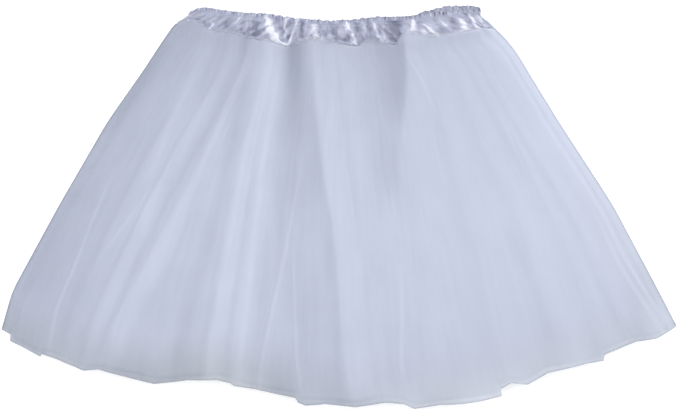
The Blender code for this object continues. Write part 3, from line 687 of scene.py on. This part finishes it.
def panel_net(number, columns, rows, crinkle):
    """A panel's points, its two maps and its marks, as arrays of rows from the waist to the hem."""
    panel, top = PANELS[number], number == TOP_PANEL
    unit = np.linspace(-1.0, 1.0, columns)[None, :]
    hem = hem_down(panel, unit * inside_side(panel.inset, 1.0))
    share = np.linspace(0.0, HEM_ROWS[0], rows, endpoint=False)
    if top:
        roll = np.linspace(0.0, ROLL_DOWN, ROLL_ROWS, endpoint=False)
        rest = np.linspace(ROLL_DOWN, HEM_ROWS[0], rows - ROLL_ROWS, endpoint=False)
        share = np.concatenate([roll, rest])
    down = np.concatenate([share, HEM_ROWS])[:, None] * hem
    across = unit * inside_side(panel.inset, down)
    half = half_width(down)
    flat = np.stack([across * half, down * HEM_MIDDLE], axis=-1)
    fall = np.stack([across * half_width(1.0), down * HEM_MIDDLE], axis=-1)
    full = fullness("folds", down)
    if top:
        height, lean = top_folds(across, down)
        across = across + lean * full * ramp(down, *LEAN_AT) / half
        pale = top_paleness(across, down)
    else:
        height = hidden_folds(panel, across, down)
        pale = np.full_like(across, HIDDEN_PALE)
    fade = ramp(from_side(across, down), SIDE_ZONE, FOLD_SHOULDER if top else PILE_SHOULDER)
    x, y = plan(across, down)
    z = rest_height(number, across, down) + height * full * fade + WALL_ROOM / 3
    own_side = np.maximum(from_side(across, down) - panel.inset, 0.0)
    if panel.name.startswith("tulle_front"):
        z = z - SIDE_CLOSE * (1.0 - ease(own_side / SIDE_CLOSE_WIDTH))
    calm = 1.0 - CALM_RIGHT * ramp(across, *CALM_RIGHT_AT)
    creases = crease_height(panel, down, flat, fall)
    z = z + crinkle * creases * calm * ease(own_side / SMOOTH_SIDE)
    cover, to_hem = np.ones_like(x), down / hem
    dull, low_right = hem_dullness(across, down, to_hem)
    if top:
        cover, lift = roll_over_band(x, y, z, own_side, (flat, fall))
        raw = np.maximum(ramp(to_hem, *RAW_HEM_AT), 1.0 - ease(own_side / RAW_SIDE))
        pale = pale + LOW_RIGHT_PALE * low_right + ROLL_LIFT * lift
        pale = pale - RAW_EDGE * raw - ramp(to_hem, *RIM_AT) * straight(RIM, "dark", across)
    marks = {"pale": pale, "dull": dull, "cover": cover, "calm": calm}
    return np.stack([x, y, z], axis=-1), flat, fall, marks


# ---------------------------------------------------------------- the form of the waistband


def band_ring(turn, share):
    """Goes round the flattened ring: x, radius, and which way out is, in x and in z."""
    left, right = straight(RINGS, "left", share), straight(RINGS, "right", share)
    middle, wide = (left + right) / 2, (right - left) / 2
    depth = sum(straight(RINGS, "depth", np.clip(share + step, 0, 1)) for step in BLUR) / len(BLUR)
    radius = depth / 2
    run_straight = 2 * (wide - radius)
    length = 2 * run_straight + TURN * radius
    run = (turn * length + math.pi * radius / 2) % length
    angle_left = np.clip(run / radius, 0.0, math.pi)
    angle_right = np.clip((run - math.pi * radius - run_straight) / radius, 0.0, math.pi)
    front_run = np.clip(run - math.pi * radius, 0.0, run_straight)
    back_run = np.clip(run - TURN * radius - run_straight, 0.0, run_straight)
    out_x = np.where(front_run <= 0.0, -np.sin(angle_left), np.sin(angle_right))
    out_z = np.where(front_run <= 0.0, -np.cos(angle_left), np.cos(angle_right))
    centre_x = -run_straight / 2 + front_run - back_run
    return centre_x + middle + radius * out_x, radius, out_x, out_z


def front_puckers(x, share, spot, in_front):
    """Height and painted shine of the puckers in the table: painted highlights and shade."""
    height, shine = np.zeros_like(x), np.zeros_like(x)
    sway = PUCKER_SWAY.height * waves(*spot, PUCKER_SWAY)
    spread = 1.0 + PUCKER_SPREAD.height * waves(*spot, PUCKER_SPREAD)
    for pucker in PUCKERS:
        along = np.clip((share - pucker.start) / (pucker.end - pucker.start), 0.0, 1.0)
        centre = pucker.x_top + (pucker.x_low - pucker.x_top) * along
        ends = ease((share - pucker.start) / PUCKER_END + 0.5)
        ends = ends * ease((pucker.end - share) / PUCKER_END + 0.5)
        line = ridge((x - centre + sway) / (pucker.width * spread)) * ends * in_front
        height += pucker.height * line
        shine += pucker.shine * line
    return height, shine


def band_net(columns, rows, settings):
    """The waistband's outer face: points, a map in metres and painted shine and shade, from its top edge
    down.
    """
    turn = np.linspace(0.0, 1.0, columns, endpoint=False)[None, :] + np.zeros((rows, 1))
    share = np.linspace(0.0, 1.0, rows)[:, None] + np.zeros((1, columns))
    x, radius, out_x, out_z = band_ring(turn, share)
    front, in_front = ease(0.5 + 0.5 * out_z), (out_z > 0).astype(float)
    slant = BAND_TALL * share * np.clip(-x / SLANT_FULL, -1.0, 1.0)
    spot = x + slant, BAND_TALL * share
    height, shine = front_puckers(x, share, spot, in_front)

    wobble = BACK_UNEVEN * np.sin(TURN * BACK_UNEVEN_TURNS * turn)
    back = 0.5 - 0.5 * np.cos(TURN * (BACK_PUCKERS * turn + wobble))
    casing = ramp(share, HEADER_SHARE, CASING_TOP) * ease((1.0 - share) / CASING_LOW + CASING_LEFT)
    behind = 1.0 - in_front
    height += behind * casing * BACK_PUCKER_HEIGHT * back
    # painted highlights on the back puckers' crests and painted shade between them
    shine += behind * casing * (back - 0.5)

    drift = turn * FINE_ROUND + share * FINE_SLANT, share * FINE_TALL
    fine, finer = waves(*drift, FINE), waves(*drift, FINER)
    height += settings.pucker * (FINE.height * fine + FINER.height * finer) * casing
    shine += FINE.shine * fine + FINER.shine * finer
    crumple = np.tanh(CRUMPLE_SHARPNESS * waves(*spot, CRUMPLES))
    crease = CREASE_TOP - CREASE_DEPTH * np.abs(waves(*spot, CREASES))
    height += (CRUMPLES.height * crumple + CREASES.height * crease) * casing
    shine += (CRUMPLES.shine * crumple + CREASES.shine * crease) * (0.5 + 0.5 * casing)

    shine = shine * (1.0 - LEFT_QUIET * ramp(-x, *LEFT_QUIET_AT))
    shine += straight(BAND_TONE, "puffs", x) * casing
    line = ridge((share - HEADER_SHARE) / LINE_WIDTH)
    height -= LINE_DEPTH * line
    shine -= LINE_DARK * line * (LINE_EVEN + LINE_FINE * fine)

    front_top, front_seam = rounded(FRONT_TOP, x), rounded(FRONT_SEAM, x)
    puff_share = (front_top - rounded(PUFF_TOP, x)) / (front_top - front_seam)
    covered = ease((share - puff_share + COVERED_FROM) / COVERED_FROM) * in_front
    height = height * (1.0 - COVERED_FLAT * covered)
    shine = shine * (1.0 - COVERED_DULL * covered) + COVERED_LIGHT * covered

    header = 1.0 - ease(share / HEADER_SHARE)
    ruffle = waves(turn * RUFFLE_ROUND, share, RUFFLES)
    ruffle = ruffle + SMALL_RUFFLES.height * waves(turn * RUFFLE_ROUND, share, SMALL_RUFFLES)
    ruffle_height = RUFFLE_FRONT + (RUFFLE_BACK - RUFFLE_FRONT) * behind
    height += (ruffle_height * ruffle + RUFFLE_RISE) * header
    shine += (RUFFLE_SHINE * ruffle + HEADER_SHINE + straight(BAND_TONE, "header", x)) * header
    shine -= TOP_DARK * ridge(share / TOP_DARK_SHARE)

    top = rounded(BACK_TOP, x) * (1 - front) + front_top * front
    seam = rounded(BACK_SEAM, x) * (1 - front) + front_seam * front
    frill = FRILL.height * waves(turn * FRILL_ROUND, 0.0, FRILL) * header
    top = top + frill * (FRILL_LEAST + (1.0 - FRILL_LEAST) * ramp(x, *FRILL_AT))
    y = top + (seam - top) * share
    z = np.maximum(radius + out_z * (radius + height) + BAND_OVER_FLOOR, BAND_LEAST)
    length_map = np.stack([turn * SATIN_LENGTH + slant, share * SATIN_WIDTH], axis=-1)
    return np.stack([x + out_x * height, y, z], axis=-1), length_map, np.clip(shine, -1.0, 1.0)


# ---------------------------------------------------------------- meshes


def place(name, data):
    """An object in the scene, at the origin."""
    made = bpy.data.objects.new(name, data)
    bpy.context.scene.collection.objects.link(made)
    return made


def sheet_piece(name, points, maps, marks, thickness, closed=False, flip=False):
    """A thin shell of quads over a net of points, with its maps, and its marks as attributes."""
    rows, columns = points.shape[:2]
    index = np.arange(rows * columns).reshape(rows, columns)
    right = np.roll(index, -1, axis=1) if closed else index[:, 1:]
    here = index if closed else index[:, :-1]
    quads = np.stack([here[:-1], here[1:], right[1:], right[:-1]], axis=-1).reshape(-1, 4)
    if flip:
        quads = quads[:, ::-1]
    mesh = bpy.data.meshes.new(name)
    mesh.from_pydata(points.reshape(-1, 3).tolist(), [], quads.tolist())
    for key, values in maps.items():
        corners = values.reshape(-1, 2)[quads.reshape(-1)]
        if closed:  # the last column of quads runs on past the first one
            length = values[0, 1, 0] - values[0, 0, 0] + values[0, -1, 0]
            first = corners[:, 0].reshape(-1, 4)
            wraps = first.max(axis=1) - first.min(axis=1) > length / 2
            first[wraps] = np.where(first[wraps] < length / 2, first[wraps] + length, first[wraps])
            corners[:, 0] = first.reshape(-1)
        mesh.uv_layers.new(name=key).data.foreach_set("uv", corners.astype(np.float32).ravel())
    for key, values in marks.items():
        mark = mesh.attributes.new(key, "FLOAT", "POINT")
        mark.data.foreach_set("value", values.astype(np.float32).ravel())
    mesh.shade_smooth()
    mesh.validate()
    piece = place(name, mesh)
    wall = piece.modifiers.new("wall", "SOLIDIFY")
    wall.thickness = thickness
    wall.offset = 0.0
    wall.use_even_offset = False
    return piece


# ---------------------------------------------------------------- nodes and materials


def pick(sockets, key):
    """A node's socket, by its number, identifier or name."""
    if isinstance(key, int):
        return sockets[key]
    return next(socket for socket in sockets if key in (socket.identifier, socket.name))


def feed(value, socket):
    """Links an input to another node's output, or sets it to a value."""
    if isinstance(value, bpy.types.NodeSocket):
        socket.id_data.links.new(value, socket)
    else:
        socket.default_value = value


def add_node(tree, kind, settings=None, inputs=None):
    """Adds a node: its settings first, then its inputs."""
    made = tree.nodes.new(kind)
    for key, value in (settings or {}).items():
        setattr(made, key, value)
    for key, value in (inputs or {}).items():
        feed(value, pick(made.inputs, key))
    return made


def maths(operation, swapped=False):
    """A method that adds a Math node, with the signal as its first value or its last."""

    def method(self, *others):
        values = (*others, self) if swapped else (self, *others)
        inputs = dict(enumerate(values))
        return self.finish.node("ShaderNodeMath", "Value", {"operation": operation}, inputs)

    return method


class Signal:
    """A value inside a material. Python's operators on it add Math nodes."""

    def __init__(self, finish, socket):
        self.finish, self.socket = finish, socket

    __add__ = __radd__ = maths("ADD")
    __sub__, __rsub__ = maths("SUBTRACT"), maths("SUBTRACT", swapped=True)
    __mul__ = __rmul__ = maths("MULTIPLY")
    __truediv__ = maths("DIVIDE")
    __abs__ = maths("ABSOLUTE")
    wrap = maths("FLOORED_MODULO")
    least = maths("MINIMUM")
    most = maths("MAXIMUM")
    above = maths("GREATER_THAN")

    def clamp(self):
        return self.most(0.0).least(1.0)


class Finish:
    """A material being made, on one Principled shader."""

    def __init__(self, name, **constants):
        self.material = bpy.data.materials.new(name)
        self.material.use_nodes = True
        self.tree = self.material.node_tree
        self.shader = self.tree.nodes["Principled BSDF"]
        for key, value in constants.items():
            self.set(key.replace("_", " "), value)

    def node(self, kind, output, settings=None, inputs=None):
        """Adds a node and gives back one of its outputs."""
        bare = {
            key: value.socket if isinstance(value, Signal) else value
            for key, value in (inputs or {}).items()
        }
        return Signal(self, pick(add_node(self.tree, kind, settings, bare).outputs, output))

    def set(self, key, value):
        feed(value.socket if isinstance(value, Signal) else value, self.shader.inputs[key])

    def mark(self, name):
        return self.node("ShaderNodeAttribute", "Fac", {"attribute_name": name})

    def chart(self, name):
        return self.node("ShaderNodeUVMap", "UV", {"uv_map": name})

    def part(self, vector, axis):
        return self.node("ShaderNodeSeparateXYZ", axis, {}, {"Vector": vector})

    def grain(self, vector, kind):
        """Noise from 0 to 1."""
        scale = kind.scale
        if isinstance(scale, tuple):
            inputs = {0: vector, 1: (*scale, 1.0)}
            vector = self.node("ShaderNodeVectorMath", "Vector", {"operation": "MULTIPLY"}, inputs)
            scale = 1.0
        inputs = {"Vector": vector, "Scale": scale}
        inputs.update(Detail=kind.detail, Roughness=kind.roughness)
        return self.node("ShaderNodeTexNoise", "Fac", {"noise_dimensions": "2D"}, inputs)

    def blend(self, factor, first, second, blend_type="MIX"):
        inputs = {"Factor_Float": factor, "A_Color": first, "B_Color": second}
        settings = {"data_type": "RGBA", "blend_type": blend_type}
        return self.node("ShaderNodeMix", "Result_Color", settings, inputs)

    def bump(self, height, distance, strength):
        inputs = {"Strength": strength, "Distance": distance, "Height": height}
        self.set("Normal", self.node("ShaderNodeBump", "Normal", {}, inputs))


def net_threads(finish, flat, cell):
    """1 on the threads of a net of six-sided holes, 0 in its holes. cell is a hole's width."""
    tall = math.sqrt(3.0)
    u, v = finish.part(flat, "X") / cell, finish.part(flat, "Y") / cell
    first_u, first_v = u.wrap(1.0) - 0.5, v.wrap(tall) - tall / 2
    second_u, second_v = (u - 0.5).wrap(1.0) - 0.5, (v - tall / 2).wrap(tall) - tall / 2
    first = first_u * first_u + first_v * first_v
    second = second_u * second_u + second_v * second_v
    nearer = first.above(second)
    side_u = abs(first_u + (second_u - first_u) * nearer)
    side_v = abs(first_v + (second_v - first_v) * nearer)
    edge = 0.5 - side_u.most(side_u * 0.5 + side_v * (tall / 2))
    return (1.0 - (edge - THREAD_HALF) / THREAD_SOFT).clamp()


def solid(colour):
    """A colour with its alpha."""
    return (*colour, 1.0)


def tulle(name, light, shade, dull_tint, cover, settings):
    """Soft nylon net: pale threads, faint streaks along its fall, and crinkles."""
    finish = Finish(name, Roughness=0.75, Sheen_Weight=0.15, Sheen_Roughness=0.5)
    flat, fall = finish.chart("net"), finish.chart("fall")
    threads = net_threads(finish, flat, settings.cell)
    thread, streak = threads - THREAD_MEAN, finish.grain(fall, STREAKS) - 0.5
    small = streak * STREAK_TONE + (finish.grain(fall, CLOUDS) - 0.5) * CLOUD_TONE
    # the pale mark holds the net's thickness and also the top panel's painted light and shade
    pale = finish.mark("pale") + small * finish.mark("calm")
    pale = ((pale + thread * THREAD_TONE) / LIGHTEST).clamp()
    lightest = tuple(low + (high - low) * LIGHTEST for low, high in zip(shade, light))
    colour = finish.blend(pale, solid(shade), solid(lightest))
    tinted = finish.blend(1.0, colour, solid(dull_tint), "MULTIPLY")
    finish.set("Base Color", finish.blend(finish.mark("dull"), colour, tinted))
    if cover < 1.0:
        surface = 1.0 - math.sqrt(1.0 - cover)  # a ray goes through two faces of the shell
        net = surface * (1.0 + streak * STREAK_COVER) + thread * THREAD_COVER
        finish.set("Alpha", (net * finish.mark("cover")).clamp())
    rumples = finish.grain(fall, RUMPLES) + threads * THREAD_HEIGHT
    finish.bump(rumples, settings.crinkle * RUMPLE_HEIGHT, TULLE_BUMP)
    return finish.material


def satin(settings):
    """Glossy satin with painted highlights and painted shade in its valleys, and a fine weave across it.
    """
    finish = Finish("satin", Specular_IOR_Level=0.6, Sheen_Weight=0.1, Anisotropic=0.3)
    weave_map, shine = finish.chart("net"), finish.mark("shine")
    # mottles in the satin's tone, which break up its painted highlights and shade, and in its roughness
    # and relief
    mottle = finish.grain(weave_map, MOTTLES) - 0.5
    wrinkle = (1.0 - abs(finish.grain(weave_map, WRINKLES) - 0.5) * WRINKLE_SHARPNESS).clamp()
    glint = (finish.grain(weave_map, GLINTS) + 1.0) * GLINT_TONE
    fine = mottle * MOTTLE_TONE + (wrinkle - WRINKLE_MEAN) * WRINKLE_TONE
    # painted highlights where the tone is high, and painted shade in the valleys where it is low
    up = (shine * glint + fine - SHINE_FROM).clamp()
    low = (mottle * MOTTLE_TONE - fine * FINE_VALLEY - shine).clamp()
    lit = finish.blend(up, solid(settings.colour), solid(settings.light))
    finish.set("Base Color", finish.blend(low, lit, solid(settings.dark)))
    finish.set("Roughness", ROUGHNESS - up * SHINE_SMOOTH + mottle * MOTTLE_ROUGH)
    weave = abs((finish.part(weave_map, "Y") / settings.weave).wrap(1.0) - 0.5)
    relief = weave * WEAVE_HEIGHT + mottle + wrinkle * WRINKLE_HEIGHT
    finish.bump(relief, SATIN_RELIEF, SATIN_BUMP)
    return finish.material


# ---------------------------------------------------------------- the pieces


def make_panel(number, settings, cloth):
    panel = PANELS[number]
    net = (settings.top_columns, settings.top_rows)
    net = net if number == TOP_PANEL else (HIDDEN_COLUMNS, HIDDEN_ROWS)
    points, flat, fall, marks = panel_net(number, *net, settings.crinkle)
    back = panel.name.startswith("tulle_back")
    maps = {"net": flat, "fall": fall}
    piece = sheet_piece(f"{panel.name}_net", points, maps, marks, settings.wall, flip=back)
    piece.data.materials.append(cloth)
    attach(piece, BODY)
    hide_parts(panel.name)


def make_waistband(settings):
    points, metres, shine = band_net(settings.columns, settings.rows, settings)
    maps, marks = {"net": metres}, {"shine": shine}
    piece = sheet_piece("waistband_satin", points, maps, marks, SATIN_THICKNESS, closed=True)
    piece.data.materials.append(satin(settings))
    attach(piece, BODY)
    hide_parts("waistband")


def stitch_tree(thread, sizes):
    """Geometry Nodes that lay stitches end to end along the edges of a mesh."""
    tree = bpy.data.node_groups.new("stitches", "GeometryNodeTree")
    tree.is_modifier = True
    face = tree.interface
    face.new_socket("Geometry", in_out="INPUT", socket_type="NodeSocketGeometry")
    for name, value in sizes.items():
        socket = face.new_socket(name, in_out="INPUT", socket_type="NodeSocketFloat")
        socket.default_value = value
        socket.subtype = "DISTANCE"
    seed = face.new_socket("Seed", in_out="INPUT", socket_type="NodeSocketInt")
    seed.default_value = STITCH_SEED
    face.new_socket("Geometry", in_out="OUTPUT", socket_type="NodeSocketGeometry")

    def add(kind, output, settings=None, inputs=None):
        return pick(add_node(tree, kind, settings, inputs).outputs, output)

    given = tree.nodes.new("NodeGroupInput").outputs
    radius, spacing = given["Thread Radius"], given["Spacing"]
    path = add("GeometryNodeMeshToCurve", "Curve", {}, {"Mesh": given["Geometry"]})
    places = add_node(
        tree, "GeometryNodeCurveToPoints", {"mode": "LENGTH"}, {"Curve": path, "Length": spacing}
    )
    ball = add("GeometryNodeMeshUVSphere", "Mesh", {}, {"Segments": 6, "Rings": 5, "Radius": 1.0})
    multiply = {"operation": "MULTIPLY"}
    half = add("ShaderNodeMath", "Value", multiply, {0: given["Stitch Length"], 1: 0.5})
    size = add("ShaderNodeCombineXYZ", "Vector", {}, {"X": radius, "Y": radius, "Z": half})
    least = {"Min": STITCH_LEAST, "Max": (1.0, 1.0, 1.0), "Seed": given["Seed"]}
    uneven = add("FunctionNodeRandomValue", "Value", {"data_type": "FLOAT_VECTOR"}, least)
    scale = add("ShaderNodeVectorMath", "Vector", multiply, {0: size, 1: uneven})
    points, turned = places.outputs["Points"], places.outputs["Rotation"]
    inputs = {"Points": points, "Rotation": turned, "Instance": ball, "Scale": scale}
    stitches = add("GeometryNodeInstanceOnPoints", "Instances", {}, inputs)
    real = add("GeometryNodeRealizeInstances", "Geometry", {}, {"Geometry": stitches})
    dressed = {"Geometry": real, "Material": thread}
    dressed = add("GeometryNodeSetMaterial", "Geometry", {}, dressed)
    add_node(tree, "NodeGroupOutput", {}, {"Geometry": dressed})
    return tree


def stitch_path(points):
    """A mesh of edges round the waistband, where its two rows of stitches run."""
    rows = [round(share * (len(points) - 1)) for share in (HEADER_SHARE, SEAM_SHARE)]
    out = points - points.mean(axis=1, keepdims=True)
    out *= np.array([0.02, 0.0, 1.0])  # straight up and down but at the ends
    out /= np.maximum(np.linalg.norm(out, axis=-1, keepdims=True), 1e-9)
    vertices, edges = [], []
    for row in rows:
        first, count = len(vertices), points.shape[1]
        vertices += (points[row] + out[row] * STITCH_OUT).tolist()
        edges += [(first + n, first + (n + 1) % count) for n in range(count)]
    mesh = bpy.data.meshes.new("stitch_path")
    mesh.from_pydata(vertices, edges, [])
    return mesh


def make_stitches(settings, band):
    """Rows of stitches along the waistband, under its frilled edge and above its lower seam."""
    points, _, _ = band_net(band.columns, band.rows, band)
    path = place("stitch_path", stitch_path(points))
    finish = Finish("thread", Roughness=0.5, Sheen_Weight=0.2)
    twist = finish.grain(finish.node("ShaderNodeTexCoord", "Object"), TWIST)
    finish.set("Base Color", finish.blend(twist, solid(THREAD_DARK), solid(settings.colour)))
    sizes = {
        "Spacing": settings.spacing,
        "Stitch Length": settings.length,
        "Thread Radius": settings.radius,
    }
    path.modifiers.new("stitches", "NODES").node_group = stitch_tree(finish.material, sizes)
    bpy.context.view_layer.update()
    evaluated = path.evaluated_get(bpy.context.evaluated_depsgraph_get())
    sewn = bpy.data.meshes.new_from_object(evaluated)
    sewn.name = "waistband_stitches"
    bpy.data.objects.remove(path, do_unlink=True)
    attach(place("waistband_stitches", sewn), BODY)


def make_stage(settings):
    """A plain pale floor, soft light from above and a camera that looks straight down."""
    scene = bpy.context.scene
    scene.view_settings.view_transform = "Standard"
    size = settings.floor_size / 2
    mesh = bpy.data.meshes.new("floor")
    corners = [(-size, -size, 0.0), (size, -size, 0.0), (size, size, 0.0), (-size, size, 0.0)]
    mesh.from_pydata(corners, [], [(0, 1, 2, 3)])
    finish = Finish("floor", Roughness=0.9, Specular_IOR_Level=0.1, Emission_Strength=0.25)
    finish.set("Base Color", solid(settings.floor_colour))
    finish.set("Emission Color", solid(settings.floor_colour))
    mesh.materials.append(finish.material)
    place("floor", mesh)

    scene.world = bpy.data.worlds.new("studio")
    scene.world.use_nodes = True
    background = scene.world.node_tree.nodes["Background"].inputs
    background["Color"].default_value = solid(SKY_COLOUR)
    background["Strength"].default_value = settings.sky
    for name, at, wide, power in (
        ("key", Vector((1.3, 1.6, 2.2)), 1.6, settings.key),
        ("fill", Vector((-1.8, -0.6, 2.4)), 2.4, settings.fill),
    ):
        lamp = bpy.data.lights.new(name, "AREA")
        lamp.shape = "SQUARE"
        lamp.size = wide
        lamp.energy = power
        lamp.color = LAMP_COLOUR
        light = place(name, lamp)
        light.location = at
        light.rotation_mode = "QUATERNION"
        light.rotation_quaternion = (-at).to_track_quat("-Z", "Y")

    lens = bpy.data.cameras.new("camera")
    lens.sensor_width = SENSOR
    lens.lens = SENSOR * settings.distance / settings.view_width
    lens.clip_end = 20.0
    scene.camera = place("camera", lens)
    scene.camera.location = (*CAMERA_AT, settings.distance + TOP_OF_CLOTH)


# ---------------------------------------------------------------- settings, operators, panel


def length(name, description, default):
    return bpy.props.FloatProperty(
        name=name, description=description, default=default, unit="LENGTH"
    )


def amount(name, description, default):
    return bpy.props.FloatProperty(name=name, description=description, default=default, min=0.0)


def count(name, description, default, least):
    return bpy.props.IntProperty(name=name, description=description, default=default, min=least)


def colour(name, description, *default):
    return bpy.props.FloatVectorProperty(
        name=name, description=description, default=default, size=3, subtype="COLOR"
    )


class TutuTulleSettings(bpy.types.PropertyGroup):
    wall: length("Thickness", "Thickness of the netting", 0.00025)
    cell: length("Hole size", "Width of a hole in the net", 0.0014)
    crinkle: length("Crinkle", "Height of the small crinkles", 0.0003)
    top_columns: count("Columns", "Points across the top panel", 560, 60)
    top_rows: count("Rows", "Points down the top panel", 82, 30)
    # the two ends of the tulle's paleness, which holds painted light and shade as well as thickness
    light: colour("Pale tulle", "Colour of the tulle where it lies thick", 0.588, 0.624, 0.742)
    shade: colour("Dark tulle", "Colour of the tulle where it lies thin", 0.31, 0.34, 0.425)
    hem_tint: colour("Hem tint", "What the colour is multiplied by at the hem", 0.80, 0.805, 0.73)


class TutuBandSettings(bpy.types.PropertyGroup):
    columns: count("Columns", "Points round the waistband", 1040, 200)
    rows: count("Rows", "Points down the waistband", 44, 8)
    pucker: length("Pucker", "Height of the small puckers", 0.0012)
    weave: length("Weave", "Distance between satin threads", 0.0003)
    colour: colour("Satin", "Colour of the satin", 0.33, 0.350, 0.458)
    # the colours of the satin's painted highlights and of the painted shade in its valleys
    light: colour("Shine", "Colour of the satin where it shines", 0.68, 0.70, 0.77)
    dark: colour("Valleys", "Colour of the satin in its valleys", 0.14, 0.150, 0.222)


class TutuStitchSettings(bpy.types.PropertyGroup):
    spacing: length("Spacing", "From one stitch to the next", 0.0030)
    length: length("Length", "Length of a stitch", 0.0022)
    radius: length("Thread radius", "Half of the thread's thickness", 0.0002)
    colour: colour("Thread", "Colour of the thread", 0.80, 0.82, 0.90)


class TutuStageSettings(bpy.types.PropertyGroup):
    floor_size: length("Floor", "Length of the floor's sides", 8.0)
    floor_colour: colour("Floor colour", "Colour of the floor", 0.92, 0.92, 0.92)
    distance: length("Camera distance", "From the camera to the tutu", 3.0)
    view_width: length("View width", "Width that the camera sees", 0.7038)
    sky: amount("Room light", "Strength of the even light", 1.15)
    key: amount("Key light", "Power of the main light", 30.0)
    fill: amount("Fill light", "Power of the second light", 8.0)


class TUTU_OT_tulle(bpy.types.Operator):
    """Makes the six panels of tulle"""

    bl_idname = "tutu.tulle"
    bl_label = "Make tulle panels"

    def execute(self, context):
        settings = context.scene.tutu_tulle
        looks = np.array(settings.light), np.array(settings.shade), settings.hem_tint
        under = tulle("tulle_under", *looks, 1.0, settings)
        cloths = [under] * (len(PANELS) - 2)
        for panel in PANELS[-2:]:
            name = panel.name.replace("front_", "")
            cloths.append(tulle(name, *looks, panel.cover, settings))
        for number, cloth in enumerate(cloths):
            make_panel(number, settings, cloth)
        return {"FINISHED"}


class TUTU_OT_waistband(bpy.types.Operator):
    """Makes the gathered satin waistband"""

    bl_idname = "tutu.waistband"
    bl_label = "Make waistband"

    def execute(self, context):
        make_waistband(context.scene.tutu_band)
        return {"FINISHED"}


class TUTU_OT_stitches(bpy.types.Operator):
    """Sews the rows of stitches along the waistband"""

    bl_idname = "tutu.stitches"
    bl_label = "Sew stitches"

    def execute(self, context):
        make_stitches(context.scene.tutu_stitches, context.scene.tutu_band)
        return {"FINISHED"}


class TUTU_OT_stage(bpy.types.Operator):
    """Makes the floor, the lights and the camera"""

    bl_idname = "tutu.stage"
    bl_label = "Make stage"

    def execute(self, context):
        make_stage(context.scene.tutu_stage)
        return {"FINISHED"}


class TUTU_PT_panel(bpy.types.Panel):
    """Lists the tutu's operators and settings in the sidebar"""

    bl_label = "Tutu"
    bl_idname = "TUTU_PT_panel"
    bl_space_type = "VIEW_3D"
    bl_region_type = "UI"
    bl_category = "Tutu"

    def draw(self, context):
        for operator, group in PARTS:
            box = self.layout.box()
            box.operator(operator)
            settings = getattr(context.scene, group)
            for key in settings.__annotations__:
                box.prop(settings, key)


GROUPS = {
    "tutu_tulle": TutuTulleSettings,
    "tutu_band": TutuBandSettings,
    "tutu_stitches": TutuStitchSettings,
    "tutu_stage": TutuStageSettings,
}
OPERATORS = (TUTU_OT_tulle, TUTU_OT_waistband, TUTU_OT_stitches, TUTU_OT_stage)
PARTS = tuple(zip((operator.bl_idname for operator in OPERATORS), GROUPS))
CLASSES = (*GROUPS.values(), *OPERATORS, TUTU_PT_panel)


def register():
    for kind in CLASSES:
        bpy.utils.register_class(kind)
    for name, kind in GROUPS.items():
        setattr(bpy.types.Scene, name, bpy.props.PointerProperty(type=kind))


def unregister():
    for name in GROUPS:
        delattr(bpy.types.Scene, name)
    for kind in reversed(CLASSES):
        bpy.utils.unregister_class(kind)


def main():
    register()
    bpy.ops.tutu.tulle()
    bpy.ops.tutu.waistband()
    bpy.ops.tutu.stitches()
    bpy.ops.tutu.stage()


if __name__ == "__main__":
    main()
